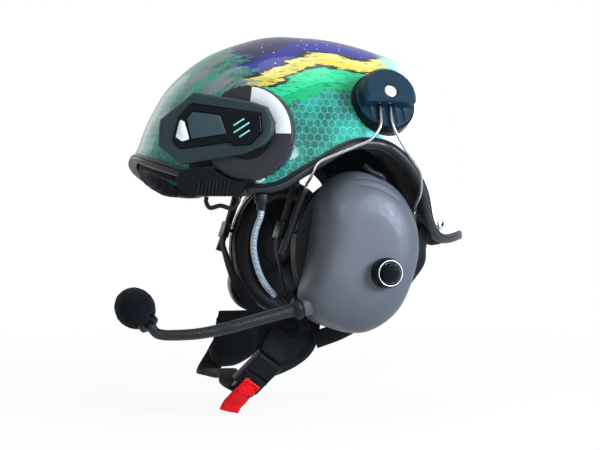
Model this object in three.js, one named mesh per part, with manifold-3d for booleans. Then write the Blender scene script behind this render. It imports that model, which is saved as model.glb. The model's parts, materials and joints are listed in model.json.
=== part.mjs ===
// An open-face flying helmet with spring-mounted ear defenders, a boom microphone,
// a clip-on intercom and a chin harness with a ratchet buckle.
// Millimetres, +Z up. The front of the helmet looks along -Y and the wearer's left is +X.
// The origin is the midpoint between the ears of the head that wears it.
import * as THREE from 'three';
import { mergeVertices } from 'three/addons/utils/BufferGeometryUtils.js';
import Module from 'manifold-3d';

const wasm = await Module();
wasm.setup();

// Clearances shared by the whole part
const seatGap = 0.3;
const softGap = 0.5;
const cutOverrun = 4;
const weldDistance = 0.0001;

// Shell
const shellHalfLength = 140;
const shellHalfWidth = 110;
const shellCrownRise = 118;
const shellCentreY = -15;
const shellCentreZ = 60;
const shellWall = 3.6;
const shellColumns = 60;
const shellRows = 10;

// Half outlines of the shell, seen from its centre, as pairs of shares: outwards of the
// half length (front, rear) or half width (side), and upwards of the crown rise
const frontOutlineShares = [
  [0, 1], [0.09, 1.008], [0.244, 0.992], [0.396, 0.94], [0.557, 0.862], [0.7, 0.742],
  [0.797, 0.627], [0.885, 0.459], [0.934, 0.335], [0.967, 0.225], [1, 0.14], [1.008, 0.02],
  [1, -0.15], [0.97, -0.45],
];
const rearOutlineShares = [
  [0, 1], [0.16, 0.985], [0.33, 0.948], [0.5, 0.893], [0.67, 0.832], [0.79, 0.77],
  [0.862, 0.69], [0.893, 0.58], [0.93, 0.44], [0.955, 0.3], [0.966, 0.15], [0.98, 0],
  [0.994, -0.2], [0.988, -0.36], [0.96, -0.55],
];
const sideOutlineShares = [
  [0, 1], [0.3, 0.96], [0.55, 0.842], [0.75, 0.668], [0.9, 0.444], [0.975, 0.22],
  [1, 0.03], [1, -0.1], [0.985, -0.25], [0.965, -0.4], [0.93, -0.55],
];
// Upper edge of the rim trim: turn from the front in degrees, height as a share of the crown rise
const rimTurnHeightShares = [
  [0, 0.17], [14, 0.125], [27, 0.06], [40, -0.015], [53, -0.05], [62, -0.03], [70, 0.05],
  [78, 0.127], [90, 0.232], [101, 0.256], [109, 0.236], [115, 0.185], [121.8, 0.08],
  [127.9, -0.08], [132.2, -0.265], [138, -0.36], [158, -0.352], [180, -0.345],
];

// Rim trim
const trimHeight = 8;
const trimLip = 2.6;
const trimInnerLip = 2;
const trimCover = 5;

// Liners
const linerGap = 1.2;
const linerEdgeInset = 3.5;
const linerThickness = 22;
const linerRows = 6;
const comfortGap = 1.4;
const comfortThickness = 4.5;
const comfortEdgeInset = 12;
const browPadHeight = 15;
const browPadThickness = 9;
const browPadHalfTurn = 44;
const napePadHeight = 17;
const napePadThickness = 13;
const napePadHalfTurn = 44;

// Strap screws
const strapScrewHeadRadius = 4.5;
const strapScrewHeadHeight = 2.2;
const strapScrewShankRadius = 2;
const strapScrewEdgeInset = 5.2;
const frontScrewTurn = 55;
const rearScrewTurn = 139;

// Harness webbing
const webbingThickness = 2;
const frontStrapWidth = 10;
const rearStrapWidth = 14;
const strapInset = 5;
const strapChannelPlay = 4;
// Straps: places along and over the edge by their screws, then their free run to the flap as
// places inwards of the cup wires, rearwards and up
const frontStrapStarts = [[-8, 0], [5.5, 0], [12, 0], [20, 0], [29, 3]];
const frontStrapRun = [
  [6.5, -46.5, 58], [9.5, -49, 47], [10.5, -54, 30], [11.5, -61, 8], [17.5, -54, -18],
  [21.7, -43, -40], [23.1, -35, -50], [23.1, -33, -60],
];
const rearStrapStarts = [[0, -7], [0, 4.5], [0, 10], [0, 16]];
const rearStrapRun = [
  [12.5, 62, -6], [17.5, 44, -28], [22.7, 20, -50], [23.1, -4, -62], [23.1, -24, -68],
];

// Ear defender disc, on a frame tilted like the side of the shell
// Out of the shell's skin at that height
const discSkinRise = 0.39130946;
const discCentreY = 18.8;
const discCentreZ = 116.9;
const discTiltDegrees = 27;
const basePlateRadius = 26;
const basePlateTop = 4.5;
const basePlateDepth = 14;
const discRadius = 24.2;
const discFloor = 8.6;
const discBlockTop = 21;
const discBlockChordDrop = 8;
const discBlockChamfer = 3;
const discBlockInset = 2.2;
const discRibCount = 5;
const discRibWidth = 2.4;
const discRibHeight = 0.9;
const pivotScrewRadius = 5.4;
const pivotScrewShank = 2.5;
const pivotScrewHead = 2.6;
const pivotShankEnd = 1.2;
const discSides = 32;

// Spring wire
const wireRadius = 1.15;
const wireSides = 6;
const wirePinOut = 11.2;
const wirePinDrop = 5.2;
const wireFrontLegY = 12;
const wireRearLegY = 20.6;
const wireLegBottomDrop = 25.5;
// Inwards of the disc's centre
const wirePlaneInset = 9.7;
// Lean of the wire's lower legs: forwards as a share of the drop
const legLeanShare = 0.3735;

// The wire's bends outside the disc, as places out of the shell's skin, rearwards and up
const wireBend = 7;
const wireLegLean = 2;
const wireFrontLegStraight = 4;
const wireRearLegStraight = 4.5;
const wireCornerShare = 0.2;
const wireFrontKnee = [9.46108927, 1.9, 87.8];
const wireFrontShoulder = [5.24664361, -41.9, 70.2];
const wireFrontElbow = [4.6385247, -46.4, 59.2];
const wireRearKnee = [12.45941851, 30.5, 80.1];
const wireRearShoulder = [10.34849064, 46.8, 63.1];
const wireRearElbow = [5.32405164, 48.8, 47];
const wireRearAnkle = [-3.49470193, 48, 38.2];

// Cup sleeves
const sleeveRadius = 3;
const sleeveBore = 1.6;
const sleeveFloor = 2;
const sleeveCollarLength = 4;
const sleeveCollarRise = 0.6;
const sleevePinRadius = 1.6;
const sleevePinReach = 9;
const frontSleeveTopY = -41.2;
const frontSleeveTopZ = 51;
const frontSleeveLength = 54;
const rearSleeveTopY = 51.2;
const rearSleeveTopZ = 31;
const rearSleeveLength = 16.5;
const wireInFrontSleeve = 27;
const wireInRearSleeve = 12;
const cupPivotZ = 18;

// Ear cup
const cupDepth = 31;
const cupWall = 2.5;
const cupHalfHeight = 63;
const cupHalfWidth = 49;
const cupCentreY = -2;
const cupCentreZ = 2;
const cupPoints = 36;
// The cup's edge seen from the side, rearwards and up, as shares of its half width and half height
const cupOutlineShares = [
  [0.07, 1], [0.61, 0.825], [0.95, 0.46], [1.04, 0.095], [0.96, -0.27], [0.65, -0.76],
  [0.12, -1], [-0.47, -0.92], [-0.82, -0.78], [-0.95, -0.54], [-0.88, -0.27],
  [-0.78, 0.05], [-0.71, 0.4], [-0.64, 0.71], [-0.35, 0.93],
];
// The cup's crown: rise as a share of its depth, spread as a share of its outline
const cupCrownShares = [
  [0, 1], [0.3, 0.985], [0.56, 0.94], [0.76, 0.86], [0.9, 0.74], [0.97, 0.62], [1, 0.5],
];
const plateHalfWidth = 46.5;
const plateHalfHeight = 59;
const plateCentreY = -3.5;
const plateThickness = 6;
const plateHoleRadius = 15;
const cushionThickness = 12;
const cushionHalfWidth = 46;
const cushionHalfHeight = 58;
const cushionRing = 15;
const cushionSteps = 28;
// The cushion's section: inwards as a share of its ring, rise as a share of its thickness
const cushionSectionShares = [
  [0.12, 0], [0, 0.28], [0.02, 0.6], [0.18, 0.9], [0.45, 1], [0.75, 0.93], [0.95, 0.62],
  [0.97, 0.3], [0.85, 0],
];
const speakerRadius = 19;
const speakerDepth = 10;

// Talk button
const knobY = 11;
const knobZ = -13.5;
const knobSink = 2.8;
const knobRadius = 11.5;
const knobHeight = 14;
const knobRingRadius = 9.6;
const buttonRadius = 7.4;
const buttonRise = 6.5;
const buttonTravel = 1.6;
const buttonStem = 6;

// Boom
const boomSocketRadius = 8.2;
const boomSocketDepth = 6.5;
const socketRound = 2;
const spoutLength = 16;
const boomRadius = 5.2;
const boomTipRadius = 4;
const boomRibDepth = 0.7;
const boomRibCount = 52;
const boomSides = 8;
const boomRoute = [
  [98, -49.5, -39.8], [97.2, -60, -42.6], [93, -79, -47.8], [87, -94.6, -52.4], [80, -105.9, -56],
  [71, -121.5, -59.7], [60, -136.6, -61.4], [51, -145, -61.7], [45, -149.3, -60.4],
  [41.8, -151.8, -56.8],
];
const capsuleNeck = 3;
const capsuleRingRadius = 8.3;
const capsuleRingHeight = 4.5;
const capsuleRadius = 6;
const capsuleHeight = 24;
const windscreenRadius = 15.6;
const windscreenHalfHeight = 17;

// Intercom, on an upright frame turned with the shell's left front
// Its place on the shell: outwards, forwards and up as shares of the shell's half width, half
// length and crown rise, then its rise out of the skin and its turn from the skin's own
const intercomPlaceShares = [0.8909090909, 0.7342857143, 0.2881355932];
const intercomRise = 23.80522206;
const intercomToeDegrees = -4.13289649;
const intercomWidth = 92;
const intercomBodyDepth = 8;
const intercomBevel = 1.6;
const intercomPanelRise = 1;
const panelPocket = 2;
const intercomKeyRise = 1.6;
const intercomKeyTravel = 1;
// Outlines seen from the front, rearwards and up, as shares of the body's width
const bodyShares = [
  [-0.489, 0.092], [-0.188, 0.312], [0.315, 0.22], [0.435, 0.176], [0.498, 0.053],
  [0.48, -0.052], [0.408, -0.13], [0.233, -0.2], [-0.308, -0.277], [-0.504, -0.12],
];
const panelShares = [
  [-0.202, 0.215], [0.388, 0.12], [0.402, -0.024], [0.307, -0.121], [0.168, -0.13],
  [0.123, -0.099], [-0.298, -0.148], [-0.366, -0.087], [-0.349, -0.016], [-0.308, 0.115],
];
const keyShares = [[-0.24, 0.092], [-0.188, 0.15], [0.05, 0.115], [0.104, -0.034], [-0.2, -0.073]];
const dialRadius = 36;
const dialCentreU = 22.3;
const dialCentreV = -2.2;
const dialThickness = 9;
const dialBore = 20;
const dialKnurls = 36;
const dialKnurlDepth = 0.8;
const dockReach = 14;
const dockArmShares = [[-0.3, 0.14], [0.3, 0.14], [0.38, -0.05], [0.3, -0.25], [-0.3, -0.3]];
const clampWidth = 58;
const clampHeight = 21;
const clampThickness = 24;
const clampFront = -4;
const clampU = -4.5;
const clampV = -38.8;
const clampDrop = 30;
const clampShares = [
  [-0.5, 0.1], [-0.42, 0.42], [-0.25, 0.5], [0.5, 0.5], [0.5, 0], [0.38, -0.5], [-0.24, -0.5],
  [-0.44, -0.3],
];

// Lead with its gland, and the intercom's cable loop in the intercom's frame
const loopRadius = 1.7;
const loopRoute = [
  [-11, -49.7, -12], [-11.5, -53, -12], [-8, -58, -10.5], [1, -56.5, -9.5], [10, -58.4, -10.5],
  [14.5, -53, -12], [14, -49.7, -12],
];
const leadRadius = 2.4;
const leadSides = 8;
const glandRadius = 5.4;
const glandSmallRadius = 3.8;
const glandHeight = 12;
const leadSleeveRadius = 3.2;
const leadRoute = [
  [91, -86.2, 22.2], [89, -84.9, 4.8], [84, -78.5, -12.9], [79, -70.2, -24.7], [75.5, -63, -31.3],
];
const leadSleeveRoute = [[72, -56, -37], [68, -52, -42.5], [64.6, -50.5, -48.5]];

// Cheek flaps
// Inwards of the cup wires
const flapInset = 27.5;
const flapTop = -50;
const flapHeight = 46;
const flapLength = 60;
const flapFrontY = -77;
const flapThickness = 6;
const flapCurlTop = -70;
const flapCurlRadius = 35;
// Rows down the flap: fall, front edge, rear edge and fullness
const flapRowShares = [
  [0, 0.13, 0.96, 0.5], [0.05, 0.11, 0.975, 1], [0.26, 0.067, 0.958, 1], [0.48, 0.033, 0.917, 1],
  [0.65, 0.01, 0.833, 1], [0.8, 0, 0.717, 1], [0.91, 0.017, 0.55, 1], [0.98, 0.083, 0.4, 0.9],
  [1, 0.15, 0.283, 0.5],
];
const flapSectionShares = [
  [-1, -0.4], [-0.93, -1], [0, -1], [0.93, -1], [1, -0.4], [1, 0.4], [0.93, 1], [0, 1],
  [-0.93, 1], [-1, 0.4],
];

// Slider on each front strap
const sliderRail = 1.4;
const sliderLength = 14;
const sliderThickness = 5.6;

// Buckle. Its frame: x along the strap towards the chin, y across, z away from the face.
const buckleY = -71;
const buckleZ = -88;
const buckleSlantDegrees = 37;
const buckleWidth = 25;
const buckleUpper = 14;
const buckleLower = 16;
const buckleHeight = 9;
const buckleBevel = 1.5;
const tongueWidth = 15;
const tongueThickness = 2.4;
const tongueBase = 1.8;
const tongueInside = 5;
const tongueOutside = 22;
const tongueToothPitch = 3;
const tongueToothRise = 0.9;
const tonguePlay = 6.5;
const leverStart = 2.2;
const leverLength = 17;
const leverWidth = 20;
const leverThickness = 2.6;
const leverBottom = 6.6;
const leverPinRadius = 1.1;
const leverPinInset = 1.9;
const leverPinReach = 11.8;
const leverRecessFloor = 5.1;
const leverRecessStart = 1;
const tabWidth = 16;
const tabThickness = 1.8;
// The tab's centre line in the buckle's frame
const tabRoute = [[8, 0, 10.5], [18, 0, 10.5], [25, 1, 8.8], [33, 4, 5], [41, 8, 2.5]];
const chinStrapWidth = 18;
// The chin strap's free run: side, inwards of that side's flap, rearwards and up
const chinStrapRoute = [
  [1, 12.5, -87.5, -107], [1, 22, -87, -104.5], [1, 39, -82, -98], [0, 0, -79, -95],
  [-1, 37, -81, -98], [-1, 21, -86, -104.5],
];
// Its last places on the right flap: along the buckle's line, then pairs rearwards and up
const chinStrapLine = [15, 0];
const chinStrapEndRoute = [[-67, -82.5], [-62.8, -77.5]];
const buckleBandWidth = 20;
const buckleBandRoute = [[-49.5, -61], [-54, -67], [-58, -72]];

const vec = (x, y, z) => new THREE.Vector3(x, y, z);
const radians = THREE.MathUtils.degToRad;
const shellCentre = vec(0, shellCentreY, shellCentreZ);

// Turns a closed list of triangles over where its faces look inwards.
function facesOut(geometry) {
  const at = geometry.getAttribute('position');
  const index = geometry.getIndex().array;
  const [a, b, c] = [vec(0, 0, 0), vec(0, 0, 0), vec(0, 0, 0)];
  let volume = 0;
  for (let i = 0; i < index.length; i += 3) {
    a.fromBufferAttribute(at, index[i]);
    b.fromBufferAttribute(at, index[i + 1]);
    c.fromBufferAttribute(at, index[i + 2]);
    volume += a.dot(b.cross(c));
  }
  if (volume < 0) {
    for (let i = 0; i < index.length; i += 3) {
      [index[i], index[i + 1]] = [index[i + 1], index[i]];
    }
  }
  return geometry;
}

function skin(points, faces) {
  const geometry = new THREE.BufferGeometry();
  const flat = points.flatMap((p) => [p.x, p.y, p.z]);
  geometry.setAttribute('position', new THREE.Float32BufferAttribute(flat, 3));
  geometry.setIndex(faces);
  return facesOut(geometry);
}

// Joins loops of points, each with as many points as the next. The ends are closed by a fan
// round a centre point, or the last loop is joined to the first when the solid is a ring.
function loft(loops, ring = false) {
  const count = loops[0].length;
  const points = loops.flat();
  const faces = [];
  const joinLoops = (from, to) => {
    for (let i = 0; i < count; i += 1) {
      const next = (i + 1) % count;
      const corners = [from + i, from + next, to + next, to + i];
      faces.push(corners[0], corners[1], corners[2], corners[0], corners[2], corners[3]);
    }
  };
  for (let row = 0; row + 1 < loops.length; row += 1) joinLoops(row * count, (row + 1) * count);
  if (ring) {
    joinLoops((loops.length - 1) * count, 0);
    return skin(points, faces);
  }
  const cap = (start, flip) => {
    const centre = vec(0, 0, 0);
    for (let i = 0; i < count; i += 1) centre.add(points[start + i]);
    points.push(centre.divideScalar(count));
    for (let i = 0; i < count; i += 1) {
      const pair = [start + i, start + (i + 1) % count];
      if (flip) pair.reverse();
      faces.push(pair[0], pair[1], points.length - 1);
    }
  };
  cap(0, true);
  cap((loops.length - 1) * count, false);
  return skin(points, faces);
}

function toManifold(geometry) {
  const plain = geometry.clone();
  plain.deleteAttribute('normal');
  plain.deleteAttribute('uv');
  const welded = mergeVertices(plain, weldDistance);
  return new wasm.Manifold(new wasm.Mesh({
    numProp: 3,
    vertProperties: welded.getAttribute('position').array,
    triVerts: Uint32Array.from(welded.getIndex().array),
  }));
}

function fromManifold(solid) {
  const mesh = solid.getMesh();
  const geometry = new THREE.BufferGeometry();
  geometry.setAttribute('position', new THREE.BufferAttribute(mesh.vertProperties, 3));
  geometry.setIndex(new THREE.BufferAttribute(mesh.triVerts, 1));
  return geometry;
}

const cut = (geometry, ...tools) => fromManifold(
  tools.reduce((solid, tool) => solid.subtract(toManifold(tool)), toManifold(geometry)));
const join = (geometry, ...others) => fromManifold(
  others.reduce((solid, other) => solid.add(toManifold(other)), toManifold(geometry)));
const common = (geometry, other) => fromManifold(
  toManifold(geometry).intersect(toManifold(other)));

// A smooth curve through pairs of numbers, read at any first value between the ends.
function smoothTable(pairs) {
  const last = pairs.length - 1;
  const slope = pairs.map((pair, i) => {
    const [before, after] = [pairs[Math.max(i - 1, 0)], pairs[Math.min(i + 1, last)]];
    return (after[1] - before[1]) / (after[0] - before[0]);
  });
  return (at) => {
    let i = 0;
    while (i < last - 1 && at > pairs[i + 1][0]) i += 1;
    const span = pairs[i + 1][0] - pairs[i][0];
    const t = THREE.MathUtils.clamp((at - pairs[i][0]) / span, 0, 1);
    const [t2, t3] = [t * t, t * t * t];
    return (2 * t3 - 3 * t2 + 1) * pairs[i][1] + (t3 - 2 * t2 + t) * span * slope[i]
      + (3 * t2 - 2 * t3) * pairs[i + 1][1] + (t3 - t2) * span * slope[i + 1];
  };
}

// Distance from the shell's centre to its outer skin, read by the angle down from the crown.
function outlineRadius(shares, halfSpan) {
  return smoothTable(shares.map(([out, up]) => {
    const [across, rise] = [out * halfSpan, up * shellCrownRise];
    return [Math.atan2(across, rise), Math.hypot(across, rise)];
  }));
}
const frontRadius = outlineRadius(frontOutlineShares, shellHalfLength);
const rearRadius = outlineRadius(rearOutlineShares, shellHalfLength);
const sideRadius = outlineRadius(sideOutlineShares, shellHalfWidth);

function skinRadius(direction) {
  const level = Math.hypot(direction.x, direction.y);
  const fall = Math.atan2(level, direction.z);
  const forward = level > 0 ? -direction.y / level : 1;
  const along = forward > 0 ? frontRadius(fall) : rearRadius(fall);
  const across = sideRadius(fall);
  return 1 / Math.hypot(forward / along, Math.sqrt(1 - forward * forward) / across);
}

// The point of the shell's outer skin seen from its centre towards a place, moved outwards.
function onSkin(place, outwards = 0) {
  const direction = place.clone().sub(shellCentre).normalize();
  return direction.clone().multiplyScalar(skinRadius(direction) + outwards).add(shellCentre);
}

// How far out sideways the outer skin lies at a place rearwards and up.
function sideSkin(y, z) {
  let x = shellHalfWidth;
  for (let i = 0; i < 60; i += 1) {
    const reach = skinRadius(vec(x, y, z).sub(shellCentre).normalize());
    const flat = (y - shellCentre.y) ** 2 + (z - shellCentre.z) ** 2;
    x = Math.sqrt(Math.max(reach ** 2 - flat, 0));
  }
  return x;
}

// The sides hang on the disc: the wire's lower legs, the cups, the straps and the flaps
const discCentreX = sideSkin(discCentreY, discCentreZ) + discSkinRise;
const wirePlaneX = discCentreX - wirePlaneInset;
const flapMiddleX = wirePlaneX - flapInset;
const insideWire = ([inset, y, z]) => vec(wirePlaneX - inset, y, z);
const besideSkin = ([rise, y, z]) => vec(sideSkin(y, z) + rise, y, z);

// The outer skin's normal at a place, from two small steps along the skin.
function skinNormal(place) {
  const radial = place.clone().sub(shellCentre).normalize();
  const level = vec(0, 0, 1).cross(radial).normalize();
  const upward = radial.clone().cross(level);
  const step = shellWall;
  const here = onSkin(place);
  const sideStep = onSkin(place.clone().addScaledVector(level, step)).sub(here);
  const upStep = onSkin(place.clone().addScaledVector(upward, step)).sub(here);
  return sideStep.cross(upStep).normalize();
}

function skinAtTurn(turnDegrees, height) {
  const turn = radians(turnDegrees);
  const level = vec(Math.sin(turn), -Math.cos(turn), 0);
  let fall = Math.PI / 2;
  for (let i = 0; i < 30; i += 1) {
    const reach = skinRadius(vec(level.x * Math.sin(fall), level.y * Math.sin(fall), Math.cos(fall)));
    const wanted = (height - shellCentreZ) / reach;
    fall = Math.acos(THREE.MathUtils.clamp(wanted, -1, 1));
  }
  const direction = vec(level.x * Math.sin(fall), level.y * Math.sin(fall), Math.cos(fall));
  return onSkin(shellCentre.clone().add(direction));
}

// The rim: stations round the trim's upper edge, each with its place, its run along the edge
// and its way down over the edge, square to that run.
function rimStations() {
  const right = rimTurnHeightShares.slice(1, -1).reverse()
    .map(([turn, share]) => [360 - turn, share]);
  const knots = [...rimTurnHeightShares, ...right]
    .map(([turn, share]) => skinAtTurn(turn, shellCentreZ + share * shellCrownRise));
  const curve = new THREE.CatmullRomCurve3(knots, true, 'centripetal');
  curve.arcLengthDivisions = 1200;
  const places = curve.getSpacedPoints(shellColumns).slice(0, shellColumns).map((p) => onSkin(p));
  return places.map((place, i) => {
    const before = places[(i + shellColumns - 1) % shellColumns];
    const after = places[(i + 1) % shellColumns];
    const run = after.clone().sub(before).normalize();
    const down = run.clone().cross(skinNormal(place)).normalize();
    if (down.z > 0) down.negate();
    return { place, run, down };
  });
}
const rim = rimStations();

// A point by the rim: down over the edge (negative is up the shell) and out of the outer skin.
function byRim(station, down, out) {
  return onSkin(station.place.clone().addScaledVector(station.down, down), out);
}

// Rings of points at a depth under the outer skin: one by the rim, then rows up to the crown
// that are shared out from a second line by the rim, so that pieces on one line lie in step.
function skinRings(stations, edgeDown, climbFrom, out, rows) {
  const crown = vec(0, 0, 1);
  const rings = [stations.map((station) => byRim(station, edgeDown, out))];
  for (let row = edgeDown > climbFrom ? 0 : 1; row < rows; row += 1) {
    const climb = row / rows;
    rings.push(stations.map((station) => {
      const foot = byRim(station, climbFrom, 0).sub(shellCentre).normalize();
      const sweep = foot.angleTo(crown);
      const direction = foot.multiplyScalar(Math.sin((1 - climb) * sweep))
        .addScaledVector(crown, Math.sin(climb * sweep));
      return onSkin(shellCentre.clone().add(direction), out);
    }));
  }
  return rings;
}

// A bowl that follows the shell between two depths under its outer skin.
function bowl(stations, edgeDown, climbFrom, outerDepth, innerDepth, rows) {
  const crown = shellCentre.clone().add(vec(0, 0, shellCrownRise));
  const count = stations.length;
  const points = [];
  const faces = [];
  const skins = [outerDepth, innerDepth].map((depth) => {
    const rings = skinRings(stations, edgeDown, climbFrom, -depth, rows);
    const start = points.length;
    points.push(...rings.flat(), onSkin(crown, -depth));
    return { start, last: rings.length - 1 };
  });
  skins.forEach(({ start, last }, inner) => {
    const quad = (a, b, c, d) => faces.push(...(inner ? [a, c, b, a, d, c] : [a, b, c, a, c, d]));
    for (let row = 0; row < last; row += 1) {
      for (let i = 0; i < count; i += 1) {
        const [low, high] = [start + row * count, start + (row + 1) * count];
        quad(low + i, low + (i + 1) % count, high + (i + 1) % count, high + i);
      }
    }
    const [top, pole] = [start + last * count, start + (last + 1) * count];
    for (let i = 0; i < count; i += 1) {
      const pair = [top + i, top + (i + 1) % count];
      if (inner) pair.reverse();
      faces.push(pair[0], pair[1], pole);
    }
  });
  for (let i = 0; i < count; i += 1) {
    const [a, b] = [skins[0].start + i, skins[0].start + (i + 1) % count];
    const [c, d] = [skins[1].start + (i + 1) % count, skins[1].start + i];
    faces.push(b, a, d, b, d, c);
  }
  return skin(points, faces);
}

// Everything inside the shell's outer skin grown by a gap, used to seat pieces on the shell.
function shellFilled(growth, drop = trimHeight) {
  const below = rim.map((station) => byRim(station, drop, growth));
  return loft([below, ...skinRings(rim, trimCover, 0, growth, shellRows)]);
}

// The rim trim's section, as pairs: down over the edge, and out of the outer skin.
function trimSection(growth) {
  const [outer, inner] = [trimLip + growth, -shellWall - trimInnerLip - growth];
  const [top, foot] = [-growth, trimHeight + growth];
  const slot = trimCover + seatGap;
  const shoulder = trimLip * 0.5;
  const edge = growth > 0
    ? [[top, (outer + inner) / 2]]
    : [[top, seatGap], [slot, seatGap], [slot, -shellWall - seatGap], [top, -shellWall - seatGap]];
  return [
    [top + shoulder, outer], [foot - 2 * shoulder, outer], [foot - shoulder * 0.5, outer - shoulder],
    [foot, (outer + inner) / 2], [foot - shoulder * 0.5, inner + shoulder],
    [foot - 2 * shoulder, inner], [top, inner], ...edge.reverse(), [top, outer - shoulder],
  ];
}

function sweepRim(section, stations, ring) {
  return loft(stations.map((station) => section.map(([down, out]) => byRim(station, down, out))), ring);
}

// Stations of the rim within a turn either side of a direction, in order round the rim.
function rimArc(middleDegrees, halfTurn) {
  const inside = rim.filter(({ place }) => {
    const turn = THREE.MathUtils.radToDeg(Math.atan2(place.x, shellCentreY - place.y));
    return Math.abs(THREE.MathUtils.euclideanModulo(turn - middleDegrees + 180, 360) - 180) < halfTurn;
  });
  const order = ({ place }) => {
    const turn = THREE.MathUtils.radToDeg(Math.atan2(place.x, shellCentreY - place.y));
    return THREE.MathUtils.euclideanModulo(turn - middleDegrees + 180, 360);
  };
  return inside.sort((a, b) => order(a) - order(b));
}

// A pad under the rim that follows it, with rounded edges and ends drawn in.
function rimPad(middleDegrees, halfTurn, top, height, depth, thickness) {
  const stations = rimArc(middleDegrees, halfTurn);
  return loft(stations.map((station, i) => {
    const along = (2 * i) / (stations.length - 1) - 1;
    const fullness = Math.sqrt(Math.max(1 - along ** 6, 0.16));
    const [half, thick] = [(height / 2) * fullness, thickness * fullness];
    const middle = top + height / 2;
    const corner = 0.25;
    return [
      [-1, corner], [-1, 1 - corner], [corner - 1, 1], [1 - corner, 1],
      [1, 1 - corner], [1, corner], [1 - corner, 0], [corner - 1, 0],
    ].map(([downShare, inShare]) => byRim(station, middle + half * downShare, -depth - thick * inShare));
  }));
}

// A flat band through places, each with the direction of its width.
function band(places, widths, width, thickness) {
  return loft(places.map((place, i) => {
    const before = places[Math.max(i - 1, 0)];
    const after = places[Math.min(i + 1, places.length - 1)];
    const run = after.clone().sub(before).normalize();
    const normal = run.clone().cross(widths[i]).normalize();
    const across = normal.clone().cross(run).normalize();
    return [[-1, -1], [1, -1], [1, 1], [-1, 1]].map(([side, face]) => place.clone()
      .addScaledVector(across, side * width / 2).addScaledVector(normal, face * thickness / 2));
  }));
}

function roundTube(curve, radius, steps, sides) {
  const shape = new THREE.Shape();
  for (let i = 0; i < sides; i += 1) {
    const turn = (2 * Math.PI * i) / sides;
    const [x, y] = [radius * Math.cos(turn), radius * Math.sin(turn)];
    if (i === 0) shape.moveTo(x, y);
    else shape.lineTo(x, y);
  }
  return new THREE.ExtrudeGeometry(shape, { steps, extrudePath: curve, bevelEnabled: false });
}

// A cylinder between two places.
function rod(from, to, radius, sides = 16, endRadius = radius) {
  const along = to.clone().sub(from);
  const geometry = new THREE.CylinderGeometry(endRadius, radius, along.length(), sides);
  const turn = new THREE.Quaternion().setFromUnitVectors(vec(0, 1, 0), along.clone().normalize());
  geometry.applyQuaternion(turn);
  const middle = from.clone().addScaledVector(along, 0.5);
  return geometry.translate(middle.x, middle.y, middle.z);
}

// Places a solid made in a local frame whose axes are given in the part's frame.
function placed(geometry, origin, xAxis, yAxis, zAxis) {
  const frame = new THREE.Matrix4().makeBasis(xAxis, yAxis, zAxis).setPosition(origin);
  return geometry.applyMatrix4(frame);
}

// A revolved solid about +Z from pairs of radius and height.
function revolve(profile, sides) {
  const geometry = new THREE.LatheGeometry(profile.map(([r, z]) => new THREE.Vector2(r, z)), sides);
  return geometry.rotateX(Math.PI / 2);
}

// A prism of a flat outline, with its edges drawn in by a bevel at both faces.
function prism(outline, depth, bevel = 0) {
  const shape = outline instanceof THREE.Shape
    ? outline : new THREE.Shape(outline.map(([x, y]) => new THREE.Vector2(x, y)));
  const geometry = new THREE.ExtrudeGeometry(shape, {
    depth: depth - 2 * bevel,
    bevelEnabled: bevel > 0,
    bevelThickness: bevel,
    bevelSize: bevel,
    bevelOffset: -bevel,
    bevelSegments: 1,
    curveSegments: 6,
  });
  return geometry.translate(0, 0, bevel);
}

function block(width, depth, height) {
  return new THREE.BoxGeometry(width, depth, height);
}

function mirrored(geometry) {
  const copy = geometry.clone().scale(-1, 1, 1);
  const index = copy.getIndex();
  const welded = index ? copy : mergeVertices(copy.deleteAttribute('normal').deleteAttribute('uv'));
  const array = welded.getIndex().array;
  for (let i = 0; i < array.length; i += 3) [array[i], array[i + 1]] = [array[i + 1], array[i]];
  return welded;
}

const paints = {
  shell: { color: 0x2f9c8b, roughness: 0.2, metalness: 0.35 },
  rubber: { color: 0x33383d, roughness: 0.6, metalness: 0 },
  foam: { color: 0x17191c, roughness: 0.95, metalness: 0 },
  lining: { color: 0x1c1e22, roughness: 0.9, metalness: 0 },
  steel: { color: 0xcfd2d3, roughness: 0.25, metalness: 1 },
  screw: { color: 0xe3e6e6, roughness: 0.4, metalness: 0.6 },
  black: { color: 0x111417, roughness: 0.45, metalness: 0 },
  cup: { color: 0x596878, roughness: 0.5, metalness: 0 },
  leather: { color: 0x1b1d20, roughness: 0.6, metalness: 0 },
  webbing: { color: 0x14161a, roughness: 0.85, metalness: 0 },
  intercom: { color: 0x2a373a, roughness: 0.55, metalness: 0 },
  gloss: { color: 0x04121a, roughness: 0.12, metalness: 0 },
  key: { color: 0x3d4c51, roughness: 0.5, metalness: 0 },
  ring: { color: 0x46474c, roughness: 0.5, metalness: 0 },
  braid: { color: 0xa9b8c0, roughness: 0.4, metalness: 0.3 },
  tab: { color: 0xe8141f, roughness: 0.8, metalness: 0 },
  mesh: { color: 0x2b2e33, roughness: 0.55, metalness: 0 },
};

const helmet = new THREE.Group();

function add(name, geometry, paint) {
  const mesh = new THREE.Mesh(geometry, new THREE.MeshStandardMaterial(paints[paint]));
  mesh.name = name;
  helmet.add(mesh);
}

function addPair(name, geometry, paint) {
  add(`${name}_left`, geometry, paint);
  add(`${name}_right`, mirrored(geometry), paint);
}

// Shell with its strap screw holes

function strapScrew(turn) {
  const edge = rim.reduce((best, station) => {
    const at = THREE.MathUtils.radToDeg(Math.atan2(station.place.x, shellCentreY - station.place.y));
    return Math.abs(at - turn) < Math.abs(best.at - turn) ? { at, station } : best;
  }, { at: -360, station: null });
  const place = byRim(edge.station, -strapScrewEdgeInset, 0);
  return { place, normal: skinNormal(place), station: edge.station };
}
const screwSeats = { front: strapScrew(frontScrewTurn), rear: strapScrew(rearScrewTurn) };

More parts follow.
